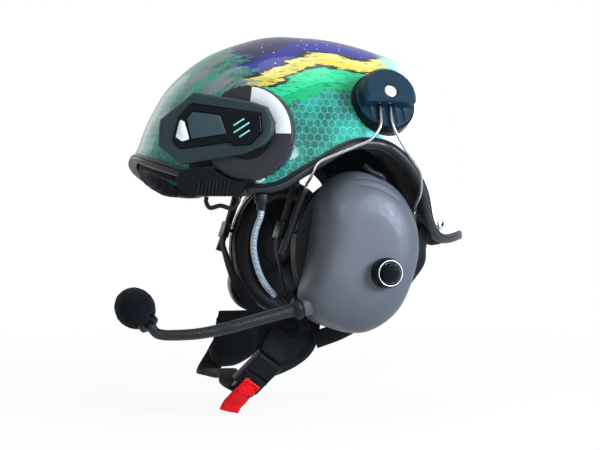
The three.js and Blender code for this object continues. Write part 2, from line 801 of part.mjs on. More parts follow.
function strapScrewGeometry({ place, normal }) {
  const [head, shank] = [strapScrewHeadRadius, strapScrewShankRadius];
  const nutTop = -shellWall - strapInset - webbingThickness - softGap;
  const profile = [
    [0, strapScrewHeadHeight + seatGap], [head * 0.55, strapScrewHeadHeight + seatGap],
    [head, seatGap + strapScrewHeadHeight * 0.4], [head, seatGap], [shank, seatGap],
    [shank, nutTop], [head, nutTop], [head, nutTop - strapScrewHeadHeight],
    [0, nutTop - strapScrewHeadHeight],
  ].reverse();
  const across = vec(0, 0, 1).cross(normal).normalize();
  return placed(revolve(profile, 12), place, across, normal.clone().cross(across), normal);
}

function screwHole({ place, normal }, radius, depth) {
  return rod(place.clone().addScaledVector(normal, cutOverrun),
    place.clone().addScaledVector(normal, -depth), radius, 12);
}

const both = (geometry) => [geometry, mirrored(geometry)];

const shellHoles = Object.values(screwSeats)
  .flatMap((seat) => both(screwHole(seat, strapScrewShankRadius + seatGap, shellWall + cutOverrun)));
add('shell', cut(bowl(rim, trimCover, 0, 0, shellWall, shellRows), ...shellHoles), 'shell');
add('edge_trim', sweepRim(trimSection(0), rim, true), 'rubber');
addPair('strap_screw_front', strapScrewGeometry(screwSeats.front), 'screw');
addPair('strap_screw_rear', strapScrewGeometry(screwSeats.rear), 'screw');

// Harness straps

const strapDepth = shellWall + strapInset + webbingThickness / 2;

function strapStart(seat, alongEdge, downOver) {
  return onSkin(seat.place.clone().addScaledVector(seat.station.run, alongEdge)
    .addScaledVector(seat.station.down, downOver), -strapDepth);
}

const frontStrapRoute = () => {
  const seat = screwSeats.front;
  const places = [
    ...frontStrapStarts.map(([along, down]) => strapStart(seat, along, down)),
    ...frontStrapRun.map(insideWire),
  ];
  const upright = seat.station.down;
  const widths = places.map((place, i) => {
    const twist = THREE.MathUtils.smoothstep(i, 3, 7);
    const untwist = THREE.MathUtils.smoothstep(i, 8, 11);
    return upright.clone().lerp(vec(1, 0, 0), twist).lerp(vec(0, -1, 0), untwist).normalize();
  });
  return [places, widths];
};

const rearStrapRoute = () => {
  const seat = screwSeats.rear;
  const places = [
    ...rearStrapStarts.map(([along, down]) => strapStart(seat, along, down)),
    ...rearStrapRun.map(insideWire),
  ];
  const level = seat.station.run;
  const widths = places.map((place, i) => {
    const turn = THREE.MathUtils.smoothstep(i, 2, 6);
    return level.clone().negate().lerp(vec(0, 0.6, 0.8), turn).normalize();
  });
  return [places, widths];
};

function strapGeometry([places, widths], seat, width) {
  const bandSolid = band(places, widths, width, webbingThickness);
  const depth = shellWall + strapInset + webbingThickness + cutOverrun;
  return cut(bandSolid, screwHole(seat, strapScrewShankRadius + seatGap, depth));
}

// The groove for a strap, open to the shell, from its screw to its first place under the edge.
function strapChannel([places, widths], width, starts) {
  const used = starts.length + 1;
  return band(places.slice(0, used), widths.slice(0, used), width + 2 * strapChannelPlay,
    2 * strapInset + webbingThickness);
}

const frontStrap = frontStrapRoute();
const rearStrap = rearStrapRoute();
addPair('front_strap', strapGeometry(frontStrap, screwSeats.front, frontStrapWidth), 'webbing');
addPair('rear_strap', strapGeometry(rearStrap, screwSeats.rear, rearStrapWidth), 'webbing');

// Liners

const linerRim = rim.filter((station, i) => i % 2 === 0);
const linerDepth = shellWall + linerGap;
const linerPockets = Object.values(screwSeats)
  .map((seat) => screwHole(seat, strapScrewHeadRadius + softGap,
    shellWall + strapInset + webbingThickness + strapScrewHeadHeight + 2 * softGap));
const linerCuts = [
  ...linerPockets, strapChannel(frontStrap, frontStrapWidth, frontStrapStarts),
  strapChannel(rearStrap, rearStrapWidth, rearStrapStarts),
].flatMap(both);
const foamBowl = bowl(linerRim, -linerEdgeInset, -linerEdgeInset, linerDepth,
  linerDepth + linerThickness, linerRows);
add('eps_liner', cut(foamBowl, ...linerCuts), 'foam');
const comfortDepth = linerDepth + linerThickness + comfortGap;
add('comfort_liner', bowl(linerRim, -comfortEdgeInset, -linerEdgeInset, comfortDepth,
  comfortDepth + comfortThickness, linerRows), 'lining');
const padTop = softGap;
const padDepth = shellWall + trimInnerLip + softGap;
add('brow_pad', rimPad(0, browPadHalfTurn, padTop, browPadHeight, padDepth, browPadThickness), 'foam');
const napeDepth = strapDepth + webbingThickness / 2 + softGap;
add('nape_pad', rimPad(180, napePadHalfTurn, padTop, napePadHeight, napeDepth, napePadThickness), 'foam');


// Ear defender discs. Their frame: x rearwards, y up the face, z out of the face.

const discAxis = vec(Math.cos(radians(discTiltDegrees)), 0, Math.sin(radians(discTiltDegrees)));
const discUp = vec(-discAxis.z, 0, discAxis.x);
const discRear = vec(0, 1, 0);
const discOrigin = vec(discCentreX, discCentreY, discCentreZ);
const onDisc = (geometry) => placed(geometry, discOrigin, discRear, discUp, discAxis);
const discPoint = (rear, up, out) => discOrigin.clone().addScaledVector(discRear, rear)
  .addScaledVector(discUp, up).addScaledVector(discAxis, out);

const blockRadius = discRadius - discBlockInset;
const ribPitch = (2 * discRadius) / (discRibCount + 2);
const wirePin = (y) => discPoint(y - discCentreY, -wirePinDrop, wirePinOut);

function discRod(bottom, top, radius, sides = discSides) {
  return rod(discPoint(0, 0, bottom), discPoint(0, 0, top), radius, sides);
}

function basePlate() {
  const round = discRod(-basePlateDepth, basePlateTop, basePlateRadius);
  const shellShape = shellFilled(seatGap);
  const bore = discRod(pivotShankEnd - seatGap, basePlateTop + cutOverrun, pivotScrewShank + seatGap, 16);
  return cut(round, shellShape, bore);
}

function discBody() {
  const bottom = basePlateTop + seatGap;
  const floor = discRod(bottom, discFloor, discRadius);
  const chordTurn = Math.asin(-discBlockChordDrop / blockRadius);
  const outline = new THREE.Shape();
  outline.absarc(0, 0, blockRadius, chordTurn, Math.PI - chordTurn, false);
  const arcPoints = outline.getPoints(10).map(({ x, y }) => [x, y]);
  const upper = onDisc(prism(arcPoints, discBlockTop - bottom, discBlockChamfer)
    .translate(0, 0, bottom));
  const ribs = Array.from({ length: discRibCount }, (unused, i) => {
    const across = (i - (discRibCount - 1) / 2) * ribPitch;
    const rib = block(discRibWidth, discRadius, 2 * discRibHeight)
      .translate(across, -discRadius / 2, discFloor);
    return common(onDisc(rib), discRod(bottom, discBlockTop, discRadius - discRibHeight));
  });
  const body = join(floor, upper, ...ribs);
  const shankHole = discRod(0, discBlockTop + cutOverrun, pivotScrewShank + seatGap, 16);
  const headHole = discRod(discBlockTop - pivotScrewHead, discBlockTop + cutOverrun,
    pivotScrewRadius + seatGap, 20);
  const clear = wireRadius + seatGap;
  const channel = rod(wirePin(wireFrontLegY - clear), wirePin(wireRearLegY + clear), clear, 10);
  const legSlots = [wireFrontLegY, wireRearLegY].map((legY) => {
    const slot = block(2 * clear + wireLegLean, discBlockChordDrop, 3 * clear)
      .translate(legY - wireLegLean / 2 - discCentreY, -wirePinDrop - discBlockChordDrop / 2,
        wirePinOut + clear / 2);
    return onDisc(slot);
  });
  return cut(body, shankHole, headHole, channel, ...legSlots);
}

function pivotScrew() {
  const top = discBlockTop;
  const profile = [
    [0, pivotShankEnd], [pivotScrewShank, pivotShankEnd],
    [pivotScrewShank, top - pivotScrewHead + seatGap],
    [pivotScrewRadius, top - pivotScrewHead + seatGap],
    [pivotScrewRadius, top - pivotScrewHead / 3], [pivotScrewRadius * 0.8, top], [0, top],
  ];
  const socket = new THREE.CylinderGeometry(pivotScrewShank, pivotScrewShank, 2 * pivotScrewHead, 6)
    .rotateX(Math.PI / 2).translate(0, 0, top + pivotScrewHead / 3);
  return onDisc(cut(revolve(profile, 20), socket));
}
addPair('base_plate', basePlate(), 'black');
addPair('disc', discBody(), 'black');
addPair('pivot_screw', pivotScrew(), 'screw');

// A bent rod: straight legs through places, with the corners rounded.
function bentRod(places, bend, radius, sides) {
  const path = [places[0]];
  for (let i = 1; i < places.length - 1; i += 1) {
    const [before, corner, after] = [places[i - 1], places[i], places[i + 1]];
    const reach = Math.min(bend, before.distanceTo(corner) * 0.45, after.distanceTo(corner) * 0.45);
    const from = corner.clone().add(before.clone().sub(corner).setLength(reach));
    const to = corner.clone().add(after.clone().sub(corner).setLength(reach));
    const turn = new THREE.QuadraticBezierCurve3(from, corner, to);
    path.push(...turn.getPoints(3));
  }
  path.push(places[places.length - 1]);
  let side = null;
  return loft(path.map((place, i) => {
    const before = path[Math.max(i - 1, 0)];
    const after = path[Math.min(i + 1, path.length - 1)];
    const run = after.clone().sub(before).normalize();
    const seed = side ?? (Math.abs(run.x) < 0.9 ? vec(1, 0, 0) : vec(0, 1, 0));
    side = seed.clone().addScaledVector(run, -seed.dot(run)).normalize();
    const up = run.clone().cross(side);
    return Array.from({ length: sides }, (unused, k) => {
      const turn = (2 * Math.PI * k) / sides;
      return place.clone().addScaledVector(side, radius * Math.cos(turn))
        .addScaledVector(up, radius * Math.sin(turn));
    });
  }));
}

// Spring wire: its middle is the pin in the disc, and each leg ends inside a sleeve.

const legDirection = vec(0, -legLeanShare, -1).normalize();
const frontSleeveTop = vec(wirePlaneX, frontSleeveTopY, frontSleeveTopZ);
const rearSleeveTop = vec(wirePlaneX, rearSleeveTopY, rearSleeveTopZ);

function springWire() {
  const legFoot = (y) => discPoint(y - wireLegLean - discCentreY, -wireLegBottomDrop, wirePinOut);
  const byPin = (y) => wirePin(y).lerp(legFoot(y), wireCornerShare);
  return bentRod([
    frontSleeveTop.clone().addScaledVector(legDirection, wireInFrontSleeve), frontSleeveTop,
    frontSleeveTop.clone().addScaledVector(legDirection, -wireFrontLegStraight),
    besideSkin(wireFrontElbow), besideSkin(wireFrontShoulder), besideSkin(wireFrontKnee),
    legFoot(wireFrontLegY), byPin(wireFrontLegY), wirePin(wireFrontLegY), wirePin(wireRearLegY),
    byPin(wireRearLegY), legFoot(wireRearLegY), besideSkin(wireRearKnee),
    besideSkin(wireRearShoulder), besideSkin(wireRearElbow), besideSkin(wireRearAnkle),
    rearSleeveTop.clone().addScaledVector(legDirection, -wireRearLegStraight), rearSleeveTop,
    rearSleeveTop.clone().addScaledVector(legDirection, wireInRearSleeve),
  ], wireBend, wireRadius, wireSides);
}

const pinRootY = (top) => top.y - legLeanShare * (top.z - cupPivotZ);

function sleeve(top, length, pinReach) {
  const profile = [
    [0, -length], [sleeveRadius, -length], [sleeveRadius, -sleeveCollarLength],
    [sleeveRadius + sleeveCollarRise, -sleeveCollarLength], [sleeveRadius + sleeveCollarRise, 0],
    [sleeveBore, 0], [sleeveBore, sleeveFloor - length], [0, sleeveFloor - length],
  ];
  const up = legDirection.clone().negate();
  const side = vec(1, 0, 0);
  const tube = placed(revolve(profile, 14), top, side, up.clone().cross(side), up);
  const pinRoot = vec(wirePlaneX, pinRootY(top), cupPivotZ);
  const rootShift = Math.sign(pinReach) * (sleeveBore + sleeveRadius) / 2;
  const pin = rod(pinRoot.clone().add(vec(0, rootShift, 0)),
    pinRoot.clone().add(vec(0, pinReach, 0)), sleevePinRadius, 12);
  return join(tube, pin);
}

addPair('wire', springWire(), 'steel');
addPair('front_sleeve', sleeve(frontSleeveTop, frontSleeveLength, sleevePinReach), 'rubber');
addPair('rear_sleeve', sleeve(rearSleeveTop, rearSleeveLength, -sleevePinReach), 'rubber');

// Ear cups. Outlines are loops in the YZ plane at a given X.

const boomCurve = new THREE.CatmullRomCurve3(boomRoute.map((p) => vec(...p)), false, 'centripetal');
const boomStart = boomCurve.getPointAt(0);
const boomDirection = boomCurve.getTangentAt(0);
const plateX = wirePlaneX + plateThickness / 2;
const cupRimX = plateX + seatGap;
const cupOutline = new THREE.CatmullRomCurve3(
  cupOutlineShares.map(([y, z]) => vec(0, y * cupHalfWidth, z * cupHalfHeight)), true, 'centripetal');
const cupOutlinePoints = cupOutline.getSpacedPoints(cupPoints).slice(0, cupPoints);

function cupLoop(x, scale, growth = 0) {
  return cupOutlinePoints.map((point) => {
    const reach = point.length() * scale + growth;
    const out = point.clone().setLength(reach);
    return vec(x, cupCentreY + out.y, cupCentreZ + out.z);
  });
}

function cupShell() {
  const outer = cupCrownShares
    .map(([rise, scale]) => cupLoop(cupRimX + rise * cupDepth, scale));
  const inner = cupCrownShares.filter((share, i) => i % 2 === 0)
    .map(([rise, scale]) => cupLoop(cupRimX + rise * (cupDepth - cupWall), scale, -cupWall));
  const dome = loft([...inner.reverse(), ...outer]);
  const spoutRoot = boomStart.clone().addScaledVector(boomDirection, -spoutLength);
  const spoutEnd = boomStart.clone().addScaledVector(boomDirection, -seatGap);
  return join(dome, rod(spoutRoot, spoutEnd, boomSocketRadius - socketRound / 2, 16));
}

function cupFilled(growth) {
  const loops = cupCrownShares
    .map(([rise, scale]) => cupLoop(cupRimX + rise * cupDepth + growth, scale, growth));
  return loft([cupLoop(cupRimX - cutOverrun, 1, growth), ...loops]);
}

function ovalPoints(halfWidth, halfHeight, count) {
  return Array.from({ length: count }, (unused, i) => {
    const turn = (2 * Math.PI * i) / count;
    return [halfWidth * Math.cos(turn), halfHeight * Math.sin(turn)];
  });
}

// Places a flat solid drawn in (rearwards, up) with its depth towards +X.
const onSide = (geometry, x, y, z) => placed(geometry, vec(x, y, z), vec(0, 1, 0), vec(0, 0, 1),
  vec(1, 0, 0));

function backPlate() {
  const oval = prism(ovalPoints(plateHalfWidth, plateHalfHeight, 36), plateThickness);
  const plate = onSide(oval, plateX - plateThickness, plateCentreY, cupCentreZ);
  const hole = rod(vec(plateX - plateThickness - cutOverrun, plateCentreY, cupCentreZ),
    vec(plateX + cutOverrun, plateCentreY, cupCentreZ), plateHoleRadius, 20);
  const pinSeats = [
    [pinRootY(frontSleeveTop) + sleevePinReach + seatGap, plateCentreY - plateHalfWidth - cutOverrun],
    [pinRootY(rearSleeveTop) - sleevePinReach - seatGap, plateCentreY + plateHalfWidth + cutOverrun],
  ].map(([inner, outer]) => rod(vec(wirePlaneX, inner, cupPivotZ), vec(wirePlaneX, outer, cupPivotZ),
    sleevePinRadius + seatGap, 12));
  return cut(plate, hole, ...pinSeats);
}

function cushion() {
  const outerX = plateX - plateThickness - seatGap;
  const loops = Array.from({ length: cushionSteps }, (unused, i) => {
    const turn = (2 * Math.PI * i) / cushionSteps;
    const [cos, sin] = [Math.cos(turn), Math.sin(turn)];
    return cushionSectionShares.map(([across, rise]) => {
      const inset = across * cushionRing;
      const y = (cushionHalfWidth - inset) * cos;
      const z = (cushionHalfHeight - inset) * sin;
      return vec(outerX - rise * cushionThickness, plateCentreY + y, cupCentreZ + z);
    });
  });
  return loft(loops, true);
}

function speaker() {
  const profile = [
    [0, 0], [speakerRadius, 0], [speakerRadius, speakerDepth * 0.3],
    [speakerRadius * 0.7, speakerDepth], [0, speakerDepth],
  ];
  return onSide(revolve(profile, 20), cupRimX, plateCentreY, cupCentreZ);
}

addPair('cup_shell', cupShell(), 'cup');
addPair('back_plate', backPlate(), 'black');
addPair('cushion', cushion(), 'leather');
addPair('speaker', speaker(), 'ring');

// Talk button on the left cup

function knobProfile() {
  return [
    [0, 0], [knobRadius, 0], [knobRadius, knobHeight * 0.75], [knobRingRadius, knobHeight],
    [buttonRadius + seatGap, knobHeight],
    [buttonRadius + seatGap, knobHeight - buttonStem], [0, knobHeight - buttonStem],
  ];
}
const knobX = cupRimX + cupDepth - knobSink;
const knobTop = knobX + knobHeight;
const knobBody = onSide(revolve(knobProfile(), 24), knobX, knobY, knobZ);
add('talk_button_housing', cut(knobBody, cupFilled(seatGap)), 'black');
const buttonFoot = knobTop - buttonStem + buttonTravel + seatGap;
const buttonHeight = knobTop + buttonRise - buttonFoot;
add('talk_button', onSide(revolve([
  [0, 0], [buttonRadius, 0], [buttonRadius, buttonHeight * 0.55],
  [buttonRadius * 0.85, buttonHeight * 0.8], [buttonRadius * 0.4, buttonHeight], [0, buttonHeight],
], 24), buttonFoot, knobY, knobZ), 'gloss');

// Boom with its socket, and the microphone

function ribbedTube(curve, ribs, startRadius, endRadius, depth, sides) {
  const length = curve.getLength();
  const plain = (2 * startRadius) / length;
  const stations = [[0, 0]];
  for (let i = 0; i < ribs; i += 1) {
    const at = plain + ((1 - 2 * plain) * i) / ribs;
    stations.push([at, 0], [at + (1 - 2 * plain) / ribs / 2, depth]);
  }
  stations.push([1 - plain, 0], [1, 0]);
  let side = vec(1, 0, 0);
  return loft(stations.map(([at, sunk]) => {
    const place = curve.getPointAt(at);
    const run = curve.getTangentAt(at);
    side = side.clone().addScaledVector(run, -side.dot(run)).normalize();
    const up = run.clone().cross(side);
    const radius = startRadius + (endRadius - startRadius) * at - sunk;
    return Array.from({ length: sides }, (unused, k) => {
      const turn = (2 * Math.PI * k) / sides;
      return place.clone().addScaledVector(side, radius * Math.cos(turn))
        .addScaledVector(up, radius * Math.sin(turn));
    });
  }));
}

function alongAxis(geometry, origin, axis) {
  const side = vec(1, 0, 0).addScaledVector(axis, -axis.x).normalize();
  return placed(geometry, origin, side, axis.clone().cross(side), axis);
}

const socketBore = boomRadius + seatGap;
const socketProfile = [
  [socketBore, 0], [boomSocketRadius - socketRound, 0], [boomSocketRadius, socketRound],
  [boomSocketRadius, boomSocketDepth - socketRound], [boomSocketRadius - socketRound, boomSocketDepth],
  [socketBore, boomSocketDepth], [socketBore, 0],
];
add('boom_socket', alongAxis(revolve(socketProfile, 20), boomStart, boomDirection), 'rubber');
add('boom', ribbedTube(boomCurve, boomRibCount, boomRadius, boomTipRadius, boomRibDepth, boomSides), 'mesh');

const micBase = boomCurve.getPointAt(1);
const micAxis = boomCurve.getTangentAt(1);
add('mic_capsule', alongAxis(revolve([
  [0, seatGap], [boomTipRadius, seatGap], [boomTipRadius, capsuleNeck],
  [capsuleRingRadius, capsuleNeck], [capsuleRingRadius, capsuleNeck + capsuleRingHeight],
  [capsuleRadius, capsuleNeck + capsuleRingHeight], [capsuleRadius, capsuleHeight], [0, capsuleHeight],
], 16), micBase, micAxis), 'black');

function windscreen() {
  const bottom = capsuleNeck + capsuleRingHeight + seatGap;
  const bore = capsuleRadius + softGap;
  const middle = bottom + windscreenHalfHeight * 0.85;
  const outer = [];
  const lowest = -Math.asin((middle - bottom) / windscreenHalfHeight);
  for (let i = 0; i <= 9; i += 1) {
    const turn = lowest + ((Math.PI / 2 - lowest) * i) / 9;
    outer.push([Math.max(windscreenRadius * Math.cos(turn), 0),
      middle + windscreenHalfHeight * Math.sin(turn)]);
  }
  outer[outer.length - 1][0] = 0;
  return alongAxis(revolve([
    [0, capsuleHeight + softGap], [bore, capsuleHeight + softGap], [bore, bottom], ...outer,
  ], 20), micBase, micAxis);
}
add('windscreen', windscreen(), 'foam');

// Intercom. Its frame: x rearwards along the face, y up, z out of the face.

const intercomAim = shellCentre.clone().add(vec(intercomPlaceShares[0] * shellHalfWidth,
  -intercomPlaceShares[1] * shellHalfLength, intercomPlaceShares[2] * shellCrownRise));
const intercomSkinNormal = skinNormal(intercomAim);
const intercomTurn = Math.atan2(intercomSkinNormal.x, -intercomSkinNormal.y)
  + radians(intercomToeDegrees);
const faceOut = vec(Math.sin(intercomTurn), -Math.cos(intercomTurn), 0);
const faceRear = vec(Math.cos(intercomTurn), Math.sin(intercomTurn), 0);
const faceUp = vec(0, 0, 1);
const faceOrigin = onSkin(intercomAim, intercomRise);
const onFace = (geometry) => placed(geometry, faceOrigin, faceRear, faceUp, faceOut);
const facePoint = (u, v, n) => faceOrigin.clone().addScaledVector(faceRear, u)
  .addScaledVector(faceUp, v).addScaledVector(faceOut, n);
const scaled = (shares, width, height) => shares.map(([u, v]) => [u * width, v * height]);

// Moves every edge of a flat outline outwards by the same distance.
function grown(outline, growth) {
  const count = outline.length;
  const at = (i) => new THREE.Vector2(...outline[(i + count) % count]);
  const outwards = THREE.ShapeUtils.area(outline.map((p, i) => at(i))) > 0 ? 1 : -1;
  return outline.map((p, i) => {
    const [before, after] = [at(i).sub(at(i - 1)).normalize(), at(i + 1).sub(at(i)).normalize()];
    const normals = [before, after].map((edge) => new THREE.Vector2(edge.y, -edge.x));
    const push = normals[0].clone().add(normals[1])
      .multiplyScalar(outwards * growth / (1 + normals[0].dot(normals[1])));
    return [p[0] + push.x, p[1] + push.y];
  });
}

const bodyOutline = scaled(bodyShares, intercomWidth, intercomWidth);
const panelOutline = scaled(panelShares, intercomWidth, intercomWidth);
const keyOutline = scaled(keyShares, intercomWidth, intercomWidth);
const panelThickness = intercomPanelRise + panelPocket;
const layer = (outline, from, to, bevel = 0) => onFace(
  prism(outline, to - from, bevel).translate(0, 0, from));

add('intercom_body', cut(
  layer(bodyOutline, -intercomBodyDepth, 0, intercomBevel),
  layer(grown(panelOutline, 2 * seatGap), -panelPocket, cutOverrun),
  layer(grown(keyOutline, 2 * seatGap), -panelPocket - intercomKeyTravel - 2 * seatGap, cutOverrun),
), 'intercom');
add('intercom_panel', cut(
  layer(panelOutline, seatGap - panelPocket, seatGap - panelPocket + panelThickness, intercomPanelRise / 2),
  layer(grown(keyOutline, 2 * seatGap), -cutOverrun, cutOverrun),
), 'gloss');
const keyFoot = -panelPocket - seatGap;
add('intercom_key', layer(keyOutline, keyFoot, intercomKeyRise, intercomPanelRise / 2), 'key');

function jogDial() {
  const teeth = Array.from({ length: 2 * dialKnurls }, (unused, i) => {
    const turn = (Math.PI * i) / dialKnurls;
    const radius = dialRadius - (i % 2) * dialKnurlDepth;
    return [dialCentreU + radius * Math.cos(turn), dialCentreV + radius * Math.sin(turn)];
  });
  const back = -intercomBodyDepth - seatGap - dialThickness;
  const ring = layer(teeth, back, back + dialThickness, dialKnurlDepth);
  return cut(ring, rod(facePoint(dialCentreU, dialCentreV, back - cutOverrun),
    facePoint(dialCentreU, dialCentreV, cutOverrun), dialBore, 28));
}
add('jog_dial', jogDial(), 'ring');

const trimGrown = sweepRim(trimSection(seatGap), rim, true);
const headSide = shellFilled(-shellWall - trimInnerLip, clampDrop);

function dock() {
  const hubTop = -intercomBodyDepth - seatGap;
  const dialBack = hubTop - dialThickness;
  const hub = rod(facePoint(dialCentreU, dialCentreV, dialBack - dockReach),
    facePoint(dialCentreU, dialCentreV, hubTop), dialBore - seatGap, 28);
  const arm = layer(scaled(dockArmShares, intercomWidth, intercomWidth), dialBack - dockReach,
    dialBack - seatGap);
  return cut(join(hub, arm), shellFilled(seatGap), trimGrown);
}
add('intercom_dock', dock(), 'black');

function rimClamp() {
  const jaw = layer(scaled(clampShares, clampWidth, clampHeight).map(([u, v]) => [u + clampU, v + clampV]),
    -clampThickness, clampFront);
  const dialRelief = rod(facePoint(dialCentreU, dialCentreV, -clampThickness - cutOverrun),
    facePoint(dialCentreU, dialCentreV, cutOverrun), dialRadius + softGap, dialKnurls);
  return cut(jaw, shellFilled(seatGap), headSide, trimGrown, dialRelief);
}
add('rim_clamp', rimClamp(), 'black');
const loopCurve = new THREE.CatmullRomCurve3(
  loopRoute.map(([u, v, n]) => facePoint(u, v, n)), false, 'centripetal');
add('intercom_lead', roundTube(loopCurve, loopRadius, 24, leadSides), 'rubber');

// Lead from the rim to the cheek flap

const glandStation = screwSeats.front.station;
const glandTop = byRim(glandStation, trimHeight + seatGap, -shellWall / 2);
add('lead_gland', revolve([
  [0, -glandHeight], [glandSmallRadius, -glandHeight], [glandSmallRadius, -glandHeight * 0.55],
  [glandRadius, -glandHeight * 0.55], [glandRadius, 0], [0, 0],
], 14).translate(glandTop.x, glandTop.y, glandTop.z), 'black');
const leadTop = glandTop.clone().add(vec(0, 0, -glandHeight - seatGap));
const leadCurve = new THREE.CatmullRomCurve3(
  [leadTop, leadTop.clone().add(vec(0, 0, -2 * leadRadius)), ...leadRoute.map((p) => vec(...p))],
  false, 'centripetal');
add('mic_lead', roundTube(leadCurve, leadRadius, 26, leadSides), 'braid');
const leadEnd = leadCurve.getPointAt(1).addScaledVector(leadCurve.getTangentAt(1), seatGap);
const sleeveCurve = new THREE.CatmullRomCurve3(
  [leadEnd, ...leadSleeveRoute.map((p) => vec(...p))], false, 'centripetal');
add('lead_sleeve', roundTube(sleeveCurve, leadSleeveRadius, 8, leadSides), 'rubber');

// Cheek flaps: pads that curl in under the jaw, with drawn-in edges

function flapX(z) {
  const drop = Math.max(flapCurlTop - z, 0);
  return flapMiddleX - (drop * drop) / (2 * flapCurlRadius);
}

const flapTilt = (z) => Math.atan(Math.max(flapCurlTop - z, 0) / flapCurlRadius);

// A place on the left flap's outer face moved outwards, and a direction laid flat on that face.
function onFlap(y, z, out) {
  const tilt = flapTilt(z);
  const reach = flapThickness / 2 + out;
  return vec(flapX(z) + reach * Math.cos(tilt), y, z - reach * Math.sin(tilt));
}
function flatOnFlap(direction, z) {
  const normal = vec(Math.cos(flapTilt(z)), 0, -Math.sin(flapTilt(z)));
  return direction.clone().addScaledVector(normal, -direction.dot(normal)).normalize();
}

function cheekFlap() {
  return loft(flapRowShares.map(([fall, front, rear, full]) => {
    const z = flapTop - fall * flapHeight;
    const middle = (front + rear) / 2 * flapLength;
    const half = (rear - front) / 2 * flapLength;
    const tilt = flapTilt(z);
    return flapSectionShares.map(([along, side]) => {
      const thick = side * flapThickness / 2 * full;
      return vec(flapX(z) + thick * Math.cos(tilt), flapFrontY + middle + along * half,
        z - thick * Math.sin(tilt));
    });
  }));
}
addPair('cheek_flap', cheekFlap(), 'lining');

// Sliders on the front straps, each a frame that the strap runs straight through

function slider() {
  const [above, below] = [insideWire(frontStrapRun[2]), insideWire(frontStrapRun[3])];
  const run = below.clone().sub(above).normalize();
  const width = vec(1, 0, 0).addScaledVector(run, -run.x).normalize();
  const centre = above.clone().lerp(below, 0.5);
  const frame = block(frontStrapWidth + 2 * sliderRail + 2 * softGap, sliderThickness, sliderLength);
  const slot = block(frontStrapWidth + 2 * softGap, webbingThickness + 2 * softGap,
    sliderLength + cutOverrun);
  return placed(cut(frame, slot), centre, width, run.clone().cross(width), run);
}
addPair('strap_slider', slider(), 'black');

// Buckle on the left flap

const buckleTilt = flapTilt(buckleZ);
const buckleOut = vec(Math.cos(buckleTilt), 0, -Math.sin(buckleTilt));
const buckleSlant = radians(buckleSlantDegrees);
const buckleRun = vec(-Math.sin(buckleTilt) * Math.cos(buckleSlant), -Math.sin(buckleSlant),
  -Math.cos(buckleTilt) * Math.cos(buckleSlant));
const buckleAcross = buckleOut.clone().cross(buckleRun);
const buckleOrigin = onFlap(buckleY, buckleZ, seatGap);
const onBuckle = (geometry) => placed(geometry, buckleOrigin, buckleRun, buckleAcross, buckleOut);
const bucklePoint = (x, y, z) => buckleOrigin.clone().addScaledVector(buckleRun, x)
  .addScaledVector(buckleAcross, y).addScaledVector(buckleOut, z);

// A box between two values on each axis of the buckle's frame.
function buckleBox([x0, x1], [y0, y1], [z0, z1]) {
  return block(x1 - x0, y1 - y0, z1 - z0).translate((x0 + x1) / 2, (y0 + y1) / 2, (z0 + z1) / 2);
}

const toothTop = tongueBase + tongueThickness + tongueToothRise;
const leverPinX = leverStart + leverPinInset;
const leverPinZ = leverBottom + leverThickness / 2;

function buckleHousing() {
  const half = buckleWidth / 2;
  const outline = [[-buckleUpper, -half], [buckleLower, -half], [buckleLower, half], [-buckleUpper, half]];
  const body = prism(outline, buckleHeight, buckleBevel);
  const channelHalf = tongueWidth / 2 + seatGap;
  const channel = buckleBox([-tongueInside - tonguePlay - seatGap, buckleLower + cutOverrun],
    [-channelHalf, channelHalf], [tongueBase - seatGap, toothTop + seatGap]);
  const recessHalf = leverWidth / 2 + seatGap;
  const recess = buckleBox([leverRecessStart, buckleLower + cutOverrun], [-recessHalf, recessHalf],
    [leverRecessFloor, buckleHeight + cutOverrun]);
  const pinHole = rod(vec(leverPinX, -leverPinReach - seatGap, leverPinZ),
    vec(leverPinX, leverPinReach + seatGap, leverPinZ), leverPinRadius + seatGap, 12);
  return onBuckle(cut(body, channel, recess, pinHole));
}

function buckleLever() {
  const plate = buckleBox([leverStart, leverStart + leverLength], [-leverWidth / 2, leverWidth / 2],
    [leverBottom, leverBottom + leverThickness]);
  const pin = rod(vec(leverPinX, -leverPinReach, leverPinZ), vec(leverPinX, leverPinReach, leverPinZ),
    leverPinRadius, 12);
  return onBuckle(join(plate, pin));
}

// The tongue's side view: a strip with saw teeth along its upper face, pushed out to its width.
function ratchetTongue() {
  const top = tongueBase + tongueThickness;
  const outline = [[-tongueInside, tongueBase], [tongueOutside, tongueBase], [tongueOutside, top]];
  const count = Math.floor((tongueOutside + tongueInside) / tongueToothPitch) - 1;
  for (let i = 0; i < count; i += 1) {
    const x = tongueOutside - tongueToothPitch * (i + 0.5);
    outline.push([x, top], [x - tongueToothPitch * 0.2, top + tongueToothRise]);
  }
  outline.push([-tongueInside, top]);
  const strip = prism(outline, tongueWidth).rotateX(Math.PI / 2).translate(0, tongueWidth / 2, 0);
  return onBuckle(strip);
}

add('buckle_housing', buckleHousing(), 'black');
add('buckle_lever', buckleLever(), 'black');
add('ratchet_tongue', ratchetTongue(), 'steel');

const tabPlaces = tabRoute.map((p) => bucklePoint(...p));
add('pull_tab', band(tabPlaces, tabPlaces.map(() => buckleAcross), tabWidth, tabThickness), 'tab');

